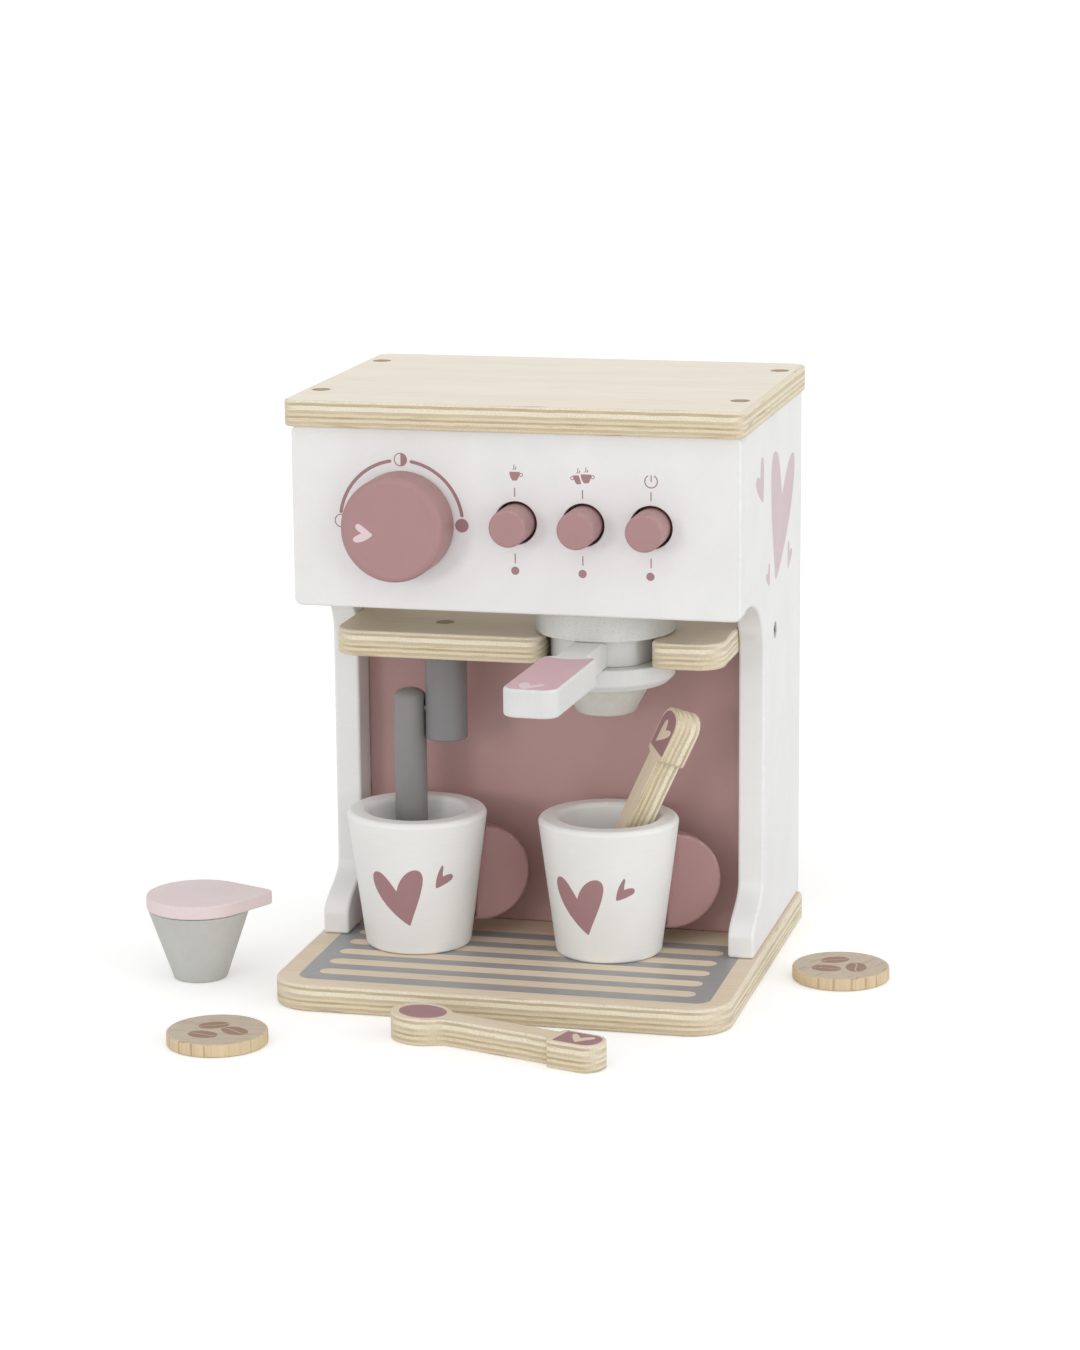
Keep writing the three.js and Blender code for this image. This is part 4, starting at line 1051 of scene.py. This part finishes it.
def makeButtons():
    r = buttonRail
    for x, name in zip(buttonSpots, buttonNames):
        face = placed(x, levels["panelFace"], buttons["z"], facingFront)
        makeTurned(name, buttonCorners(), face, "pink")
        makeSpring(name, face @ Matrix.Translation((0, 0, (buttonParts["rail"] + springs["seat"]) * mm)))
    outline = boardOutline(r["width"], r["height"], r["corner"])
    place = placed(0, r["back"], buttons["z"] - r["height"] / 2, facingFront)
    holes = [roundHole(x, r["height"] / 2, r["bore"], r["thickness"], r["boreEdge"], 32) for x in buttonSpots]
    makeBoard("button_rail", outline, r["thickness"], r["edge"], place, paleWood, holes)


# Portafilter: filter cup, handle plate, lower ring and spout cone, round the notch's middle
portafilter = {"x": 32, "y": -12, "turn": -2}
neck = {"radius": 25, "flat": 22.8, "flatTurn": 18, "edge": 0.4}
filterCup = {
    "bottom": 160.8, "radius": 31.5, "height": 12.5, "edge": 1, "rim": 1.2,
    "recess": 23.2, "recessDepth": 7, "recessEdge": 0.4, "recessRound": 1,
}
handle = {
    "bottom": 148.3, "thickness": 12.4, "barHalf": 7.2, "gripHalf": 12.3, "gripStart": 60, "gripEnd": 129,
    "barCorner": 1.2, "shoulder": 4.8, "endCorner": 7, "edge": 1.3, "inner": 20,
}
lowerRing = {
    "bottom": 137.8, "radius": 31.3, "height": 10.4, "chamfer": 3, "edge": 0.8, "chamferEdge": 1.2,
}
spoutCone = {"bottom": 123, "topRadius": 20.9, "bottomRadius": 13.1, "height": 14.7, "round": 2}


def neckOutline():
    # a circle with a flat on its right
    path = []
    for point in circle(0, 0, 1, 180):
        spun = Matrix.Rotation(math.radians(neck["flatTurn"]), 2) @ point
        path.append(point * min(neck["radius"], neck["flat"] / max(spun.x, 0.01)))
    return path


def gripOutline():
    h = handle
    right = [
        (h["gripHalf"], -h["gripEnd"], h["endCorner"]), (h["gripHalf"], -h["gripStart"], h["shoulder"]),
        (h["barHalf"], -h["gripStart"], h["barCorner"]), (h["barHalf"], -h["inner"]),
    ]
    return rounded(right + [(-x, *rest) for x, *rest in reversed(right)])


# Print on the grip, along it and to its right from the middle of the notch
gripPrint = {
    "start": 61.8, "bow": 5.7, "end": 127.9, "half": 11.3, "innerHalf": 10.3, "corner": 6,
    "sideStart": 66.8, "bowPull": 5, "startPulls": (62.5, 63.8), "heart": (127.0, -2.5), "heartSize": 1.36,
    "heartTurn": -5,
}


def gripPrintOutline():
    g = gripPrint
    start, half, inner, bow = g["start"], g["half"], g["innerHalf"], g["start"] + g["bow"]
    path = bezier([(start, inner), (bow, g["bowPull"]), (bow, -g["bowPull"]), (start, -inner)], 16)
    near, far = g["startPulls"]
    shoulder = bezier([(start, -inner), (near, -half), (far, -half), (g["sideStart"], -half)], 6)[1:]
    x, y = g["end"] - g["corner"], half - g["corner"]
    path += shoulder + arc(x, -y, g["corner"], -90, 0, 10) + arc(x, y, g["corner"], 0, 90, 10)
    path += [Vector((p.x, -p.y)) for p in reversed(shoulder[:5])]
    return tidy(path)


def makePortafilter():
    p, h, c, r, s = portafilter, handle, filterCup, lowerRing, spoutCone
    at = lambda z: placed(p["x"], p["y"], z, upright, p["turn"])
    shape = newShape()
    addPlate(shape, neckOutline(), h["thickness"], neck["edge"], (), 3)
    addPlate(shape, gripOutline(), h["thickness"], h["edge"])
    dress(makeObject("handle_plate_look", shape, at(h["bottom"]), same("lightGrey")), "handle_plate")
    top = at(h["bottom"] + h["thickness"])
    heart = drawn(hearts["dial"], gripPrint["heartSize"], *gripPrint["heart"], gripPrint["heartTurn"])
    wrap = lambda u, v, level: (v, -u, level)
    around = [gripPrintOutline(), heart]
    makePrint("grip_print", "handle_plate", [around], wrap, "printGrip", top)
    makePrint("grip_heart", "handle_plate", [[heart]], wrap, "printLight", top)
    floor = c["height"] - c["recessDepth"]
    makeTurned("filter_cup", [
        (0, 0), (c["radius"], 0, c["edge"]), (c["radius"], c["height"], c["rim"]),
        (c["recess"], c["height"], c["recessEdge"]), (c["recess"], floor, c["recessRound"]), (0, floor),
    ], at(c["bottom"]), "speckled", 128)
    makeTurned("lower_ring", [
        (0, 0), (r["radius"] - r["chamfer"], 0, r["edge"]), (r["radius"], r["chamfer"], r["chamferEdge"]),
        (r["radius"], r["height"], r["edge"]), (0, r["height"]),
    ], at(r["bottom"]), "lightGrey", 128)
    makeTurned("spout_cone", [
        (0, 0), (s["bottomRadius"], 0, s["round"]), (s["topRadius"], s["height"]), (0, s["height"]),
    ], at(s["bottom"]), "coneGrey")


# Steam wand: post, arm and the pin that joins them
wandPost = {"x": -43.5, "y": -10, "bottom": 106, "length": 42.4, "radius": 9.6, "edge": 1.5, "topEdge": 0.3}
wandArm = {"x": -60.8, "pivot": 120, "reach": 56, "radius": 7.4, "foot": 2.5, "shoulder": 5, "dome": 4.1}
wandPin = {
    "start": -67.0, "head": 3.4, "headDepth": 2, "headEdge": 0.5, "neckEdge": 0.2,
    "radius": 2, "length": 22.9, "endEdge": 0.4,
}


def makeWand():
    p, a, n = wandPost, wandArm, wandPin
    makeTurned("wand_post", [
        (0, 0), (p["radius"], 0, p["edge"]), (p["radius"], p["length"], p["topEdge"]), (0, p["length"]),
    ], placed(p["x"], p["y"], p["bottom"]), "postGrey")
    profile = rounded([(0, -a["reach"]), (a["radius"], -a["reach"], a["foot"]), (a["radius"], 0)], False)
    profile += [Vector((a["radius"] * p.x, a["shoulder"] + a["dome"] * p.y)) for p in arc(0, 0, 1, 0, 90, 20)]
    shape = newShape()
    addTurned(shape, profile)
    arm = makeObject("wand_arm_look", shape, placed(a["x"], p["y"], a["pivot"]), same("armGrey"))
    gap = levels["gap"]
    mouth, depth, bore = n["head"] + gap, n["headDepth"] + gap, n["radius"] + gap
    before, past = -4, 30  # the tool's ends, outside the arm
    shape = newShape()
    addTurned(shape, [
        (0, before), (mouth, before), (mouth, depth), (bore, depth), (bore, past), (0, past),
    ], 48)
    spot = placed(n["start"], p["y"], a["pivot"], facingRight)
    dress(cutAway(arm, makeObject("pin_bore", shape, spot, [looks["armGrey"]])), "wand_arm")
    makeTurned("wand_pin", [
        (0, 0), (n["head"], 0, n["headEdge"]), (n["head"], n["headDepth"], n["neckEdge"]),
        (n["radius"], n["headDepth"]), (n["radius"], n["length"], n["endEdge"]), (0, n["length"]),
    ], spot, "shadedPinSteel", 48)


# Cups and their disc handles
cup = {
    "height": 63.8, "foot": 24.3, "rim": 32, "footRound": 1.6, "wall": 9.8, "rimRound": 2.6,
    "mouthRound": 3, "rimDrop": 0.3, "floor": 14.3, "innerFoot": 15.8, "innerRound": 5,
}
cupHandle = {"radius": 22.1, "thickness": 10, "edge": 1.6, "offset": 30.1, "height": 30.8}
cupPlaces = {"left_cup": (-55, -21.5, 29), "right_cup": (34, -16.8, 29)}

# Hearts printed on the cups: the big one's tip along the wall and up it, and the print's turn
cupPrints = {"left_cup": (3.0, 14.6, 0), "right_cup": (-4.6, 14.0, -4)}
cupHearts = {"besideSmall": 13, "aboveSmall": 18, "wrapRadius": 28.5, "spacing": 2}


def cupProfile():
    c = cup
    foot, outer, inner, well = c["footRound"], c["rimRound"], c["mouthRound"], c["innerRound"]
    edge = c["height"] - c["rimDrop"]
    path = [Vector((0, 0))]
    path += arc(c["foot"] - foot, foot, foot, -90, 0, 5)
    path += arc(c["rim"] - outer, edge - outer, outer, 0, 78, 9)
    path += arc(c["rim"] - c["wall"] + inner, edge - inner, inner, 100, 180, 9)
    path += arc(c["innerFoot"] - well, c["floor"] + well, well, 0, -90, 8)
    return path + [Vector((0, c["floor"]))]


def makeCupHearts(name, x, y):
    # the wall is a cone: u runs round it to the right from the front, v up it
    c, h = cup, cupHearts
    slope = (c["rim"] - c["foot"]) / (c["height"] - c["rimRound"] - c["rimDrop"] - c["footRound"])
    start, up, turn = cupPrints[name]
    beside = Matrix.Rotation(math.radians(turn), 2) @ Vector((h["besideSmall"], h["aboveSmall"]))
    drawings = [
        [drawn(hearts["cup"], 1, start, up, turn)],
        [drawn(hearts["cupSmall"], 1, start + beside.x, up + beside.y, turn)],
    ]

    def wrap(u, v, level):
        a = u / h["wrapRadius"] - math.pi / 2
        radius = c["foot"] + slope * (v - c["footRound"]) + level
        return x + radius * math.cos(a), y + radius * math.sin(a), wallBottom + v

    makePrint(name + "_hearts", name, drawings, wrap, "printPink", None, h["spacing"])


def makeCups():
    c, h = cup, cupHandle
    gap, below, above = levels["gap"], -2, c["height"] + 9
    for name, (x, y, turn) in cupPlaces.items():
        place = placed(x, y, wallBottom, upright, turn)
        makeTurned(name, cupProfile(), place, "cupWhite", 128)
        shape = newShape()
        addPlate(shape, circle(0, 0, h["radius"], 96), h["thickness"], h["edge"])
        middle = placed(h["offset"], h["thickness"] / 2, h["height"], facingFront)
        disc = makeObject(name + "_handle_look", shape, place @ middle, same("handlePink"))
        shape = newShape()
        addTurned(shape, [
            (0, below), (c["foot"] + gap, below), (c["foot"] + gap, c["footRound"]),
            (c["rim"] + gap, c["height"] - c["rimRound"]), (c["rim"] + gap, above), (0, above),
        ], 128)
        dress(cutAway(disc, makeObject("cup_cone", shape, place, [looks["pink"]])), name + "_handle")
        makeCupHearts(name, x, y)


# Spoons, drawn from the head's centre along x to the grip
spoon = {
    "head": 14, "headHalf": 11.7, "neckHalf": 4.9, "shaftEnd": 66.8, "shaftHalf": 5, "gripHalf": 8.4,
    "gripEnd": 91, "shoulder": 2.8, "rise": 0.3, "risePull": 1.2, "shoulderPull": 1.9, "endCorner": 7.5,
    "blend": 4, "blendPull": 0.67, "edge": 0.4,
}
tableSpoon = {"x": -25.2, "y": -125, "turn": -17}
cupSpoon = {"x": 32.1, "y": -16.3, "z": 42, "lean": 24.6, "roll": 34.1}


def spoonOutline():
    s = spoon
    opening = math.degrees(math.asin((s["neckHalf"] + s["blend"] / 2) / s["headHalf"]))
    head = arc(0, 0, s["head"], opening, 360 - opening, 56)
    path = [Vector((p.x, p.y * s["headHalf"] / s["head"])) for p in head]
    corner = Vector((s["head"], -s["neckHalf"]))
    neck = Vector((s["head"] * math.cos(math.radians(opening)) + s["blend"], -s["neckHalf"]))
    pull = s["blendPull"]
    blend = bezier([path[-1], path[-1].lerp(corner, pull), neck.lerp(corner, pull), neck], 8)[1:]
    shoulder = s["shaftEnd"] + s["shoulder"]
    side = bezier([
        (s["shaftEnd"], -s["shaftHalf"]), (s["shaftEnd"] + s["rise"], s["risePull"] - s["gripHalf"]),
        (shoulder - s["shoulderPull"], -s["gripHalf"]), (shoulder, -s["gripHalf"]),
    ], 8)
    corner = s["endCorner"]
    side += arc(s["gripEnd"] - corner, corner - s["gripHalf"], corner, -90, 0, 12)
    path += blend + side
    return path + [Vector((p.x, -p.y)) for p in side[::-1] + blend[::-1]]


# Prints on the spoons, along and across each from its head's centre
spoonPrint = {
    "disc": {"x": 0.8, "halfLength": 11, "halfWidth": 8.8},
    "patch": {"start": 69.9, "end": 89.2, "startCorner": 0.5},
    "flat": {"half": 6.9, "corner": 5.8, "heart": "flatSpoon"},
    "leaning": {"half": 7.6, "corner": 6.6, "heart": "leaningSpoon"},
}


def spoonPatch(kind):
    p, k = spoonPrint["patch"], spoonPrint[kind]
    half, start, end = k["half"], (p["start"], p["startCorner"]), (p["end"], k["corner"])
    corners = [(x, y, corner) for (x, corner), y in ((start, -half), (end, -half), (end, half), (start, half))]
    return [rounded(corners), drawn(hearts[k["heart"]])]


def makeSpoons():
    t, c, d = tableSpoon, cupSpoon, spoonPrint["disc"]
    board, edge = levels["board"], spoon["edge"]
    flat = placed(t["x"], t["y"], 0, upright, t["turn"])
    makeBoard("table_spoon", spoonOutline(), board, edge, flat, warmWood)
    lean = math.radians(c["lean"])
    length = Vector((math.sin(lean), 0, math.cos(lean)))
    width = Matrix.Rotation(math.radians(c["roll"]), 3, length) @ Vector((0, -1, 0))
    leaning = placed(c["x"], c["y"], c["z"], (length, width, length.cross(width)))
    leaning = leaning @ Matrix.Translation((0, 0, -board / 2 * mm))
    makeBoard("cup_spoon", spoonOutline(), board, edge, leaning, warmWood)
    onTop = lambda u, v, level: (u, v, board + level)
    below = lambda u, v, level: (u, v, -level)
    disc = [Vector((d["x"] + d["halfLength"] * p.x, d["halfWidth"] * p.y)) for p in circle(0, 0, 1)]
    drawings = [[disc], spoonPatch("flat")]
    makePrint("table_spoon_print", "table_spoon", drawings, onTop, "printPink", flat)
    drawings = [spoonPatch("leaning")]
    makePrint("cup_spoon_print", "cup_spoon", drawings, below, "printPink", leaning)


# Creamer and its drop-shaped lid
creamer = {
    "x": -149, "y": -58.2, "foot": 12.2, "rim": 23.4, "height": 32.8, "wall": 3.6, "floor": 5,
    "footRound": 0.8, "rimRound": 0.5, "innerRound": 1.5,
}
lid = {
    "radius": 23.9, "thickness": 6.2, "edge": 0.9, "tab": 29.8, "tabRadius": 3.6, "turn": 20.7,
    "spigot": 18.17, "spigotDepth": 3, "spigotEdge": 0.4, "overlap": 1,
}


def makeCreamer():
    c, t = creamer, lid
    inner = c["foot"] - c["wall"] + (c["rim"] - c["foot"]) * c["floor"] / c["height"]
    makeTurned("creamer_cup", [
        (0, 0), (c["foot"], 0, c["footRound"]), (c["rim"], c["height"], c["rimRound"]),
        (c["rim"] - c["wall"], c["height"], c["rimRound"]), (inner, c["floor"], c["innerRound"]),
        (0, c["floor"]),
    ], placed(c["x"], c["y"], 0), "creamerGrey")
    lean = math.degrees(math.acos((t["radius"] - t["tabRadius"]) / t["tab"]))
    outline = arc(0, 0, t["radius"], lean, 360 - lean, 72) + arc(t["tab"], 0, t["tabRadius"], -lean, lean, 12)
    shape = newShape()
    addPlate(shape, outline, t["thickness"], t["edge"])
    depth, top = t["spigotDepth"], t["overlap"]
    corners = [(0, -depth), (t["spigot"], -depth, t["spigotEdge"]), (t["spigot"], top), (0, top)]
    addTurned(shape, rounded(corners, False))
    place = placed(c["x"], c["y"], c["height"] + levels["gap"], upright, t["turn"])
    dress(makeObject("creamer_lid_look", shape, place, same("palePink")), "creamer_lid")


# Coffee pads
pad = {"radius": 22.1, "thickness": 5.8, "edge": 0.8}
padPlaces = {"left_coffee_pad": (-110, -150.5, 12), "right_coffee_pad": (138.2, 1.4, 64)}

# Coffee beans printed on each pad: middle, half length, half width and turn
padBeans = {
    "left_coffee_pad": [(-3.2, 5.5, 6.8, 4.6, 30), (-4.0, -7.8, 6.9, 4.7, -8), (8.0, -0.2, 7.0, 4.7, -30)],
    "right_coffee_pad": [(-3.9, 7.6, 6.8, 4.6, 29), (-5.7, -6.2, 6.9, 4.7, -1), (7.3, -1.9, 7.0, 4.7, 99)],
}
beanShape = {
    "crease": [(-0.97, -0.1), (-0.3, 0.4), (0.3, -0.4), (0.97, 0.1)], "halfGap": 0.075, "opening": 10,
}


def beanPrint(x, y, halfLength, halfWidth, turn):
    # two halves of an oval on either side of a wavy crease
    spin = Matrix.Rotation(math.radians(turn), 2)
    place = lambda p: spin @ Vector((p.x * halfLength, p.y * halfWidth)) + Vector((x, y))
    crease = bezier(beanShape["crease"], 14)
    gap, opening = Vector((0, beanShape["halfGap"])), beanShape["opening"]
    upper = arc(0, 0, 1, opening, 180 - opening, 24) + [p + gap for p in crease]
    lower = arc(0, 0, 1, 180 + opening, 360 - opening, 24) + [p - gap for p in reversed(crease)]
    return [[tidy([place(p) for p in half])] for half in (upper, lower)]


def makePads():
    wood = [looks["padTop"], looks["padSide"]]
    wrap = lambda u, v, level: (u, v, pad["thickness"] + level)
    for name, (x, y, turn) in padPlaces.items():
        rim, place = circle(0, 0, pad["radius"], 96), placed(x, y, 0, upright, turn)
        makeBoard(name, rim, pad["thickness"], pad["edge"], place, wood, (), 3)
        drawings = [half for bean in padBeans[name] for half in beanPrint(*bean)]
        makePrint(name + "_beans", name, drawings, wrap, "printBrown", placed(x, y, 0))


makeBase()
makeDripGrid()
makeTop()
makeSides()
makeSideHearts()
makeShelf()
makeBackPanel()
makeFrontPanel()
makeFrontMarks()
print("housing made")
makeDial()
makeButtons()
print("dial and buttons made")
makePortafilter()
makeWand()
makeCups()
makeSpoons()
makeCreamer()
makePads()
print("loose pieces made")


# Floor, light and camera
stage = {"half": 30000, "down": -0.1, "color": 0.9, "roughness": 0.9, "glow": 0.24}


def makeFloor():
    # the floor shows the shadows, and glows for the camera only
    half, down, grey = stage["half"] * mm, stage["down"] * mm, stage["color"]
    mesh = bpy.data.meshes.new("floor")
    corners = [(-half, -half, down), (half, -half, down), (half, half, down), (-half, half, down)]
    mesh.from_pydata(corners, [], [(0, 1, 2, 3)])
    floor = bpy.data.objects.new("floor", mesh)
    scene.collection.objects.link(floor)
    material, tree, shader = newMaterial("floor", stage["roughness"], 0)
    shader.inputs["Base Color"].default_value = (grey, grey, grey, 1)
    seen = addNode(tree, "LightPath").outputs["Is Camera Ray"]
    strength = multiplied(tree, seen, stage["glow"])
    tree.links.new(strength, shader.inputs["Emission Strength"])
    shader.inputs["Emission Color"].default_value = (1, 1, 1, 1)
    mesh.materials.append(material)


light = {
    "sky": 0.78,
    "lamps": {
        "front": {"direction": (0, -0.88, 0.45), "strength": 0.28, "angle": 70},
        "right": {"direction": (0.95, -0.1, 0.3), "strength": 0.58, "angle": 50},
        "top": {"direction": (0.1, 0.1, 0.98), "strength": 0.18, "angle": 60},
        "front right": {"direction": (0.64, -0.76, 0.12), "strength": 0.12, "angle": 14},
        "front left": {"direction": (-0.40, -0.90, 0.15), "strength": 0.32, "angle": 14},
    },
}


def makeLight():
    world = bpy.data.worlds.new("world")
    scene.world = world
    world.use_nodes = True
    tree = world.node_tree
    path = addNode(tree, "LightPath").outputs["Is Camera Ray"]
    strength = ranged(tree, path, 0, 1, light["sky"], 1)
    background = tree.nodes["Background"]
    background.inputs["Color"].default_value = (1, 1, 1, 1)
    tree.links.new(strength, background.inputs["Strength"])
    for name, wanted in light["lamps"].items():
        lamp = bpy.data.lights.new(name, "SUN")
        lamp.energy = wanted["strength"]
        lamp.angle = math.radians(wanted["angle"])
        sun = bpy.data.objects.new(name, lamp)
        sun.rotation_euler = Vector(wanted["direction"]).to_track_quat("Z", "Y").to_euler()
        scene.collection.objects.link(sun)


camera = {
    "place": (398.8, -1622.9, 504.8), "target": (-0.4, -5.4, 136.6), "roll": -0.47,
    "lens": 99.84, "sensor": 36, "near": 0.05, "far": 60,
}


def makeCamera():
    place = Vector(camera["place"]) * mm
    forward = (Vector(camera["target"]) * mm - place).normalized()
    right = forward.cross(Vector((0, 0, 1))).normalized()
    up = right.cross(forward)
    roll = math.radians(camera["roll"])
    turnedRight = right * math.cos(roll) + up * math.sin(roll)
    turnedUp = up * math.cos(roll) - right * math.sin(roll)
    lens = bpy.data.cameras.new("camera")
    lens.lens = camera["lens"]
    lens.sensor_width = camera["sensor"]
    lens.sensor_fit = "AUTO"
    lens.clip_start, lens.clip_end = camera["near"], camera["far"]
    made = bpy.data.objects.new("camera", lens)
    matrix = Matrix((turnedRight, turnedUp, -forward)).transposed().to_4x4()
    matrix.translation = place
    made.matrix_world = matrix
    scene.collection.objects.link(made)
    scene.camera = made


makeFloor()
makeLight()
makeCamera()
scene.view_settings.view_transform = "Standard"
print("stage made")
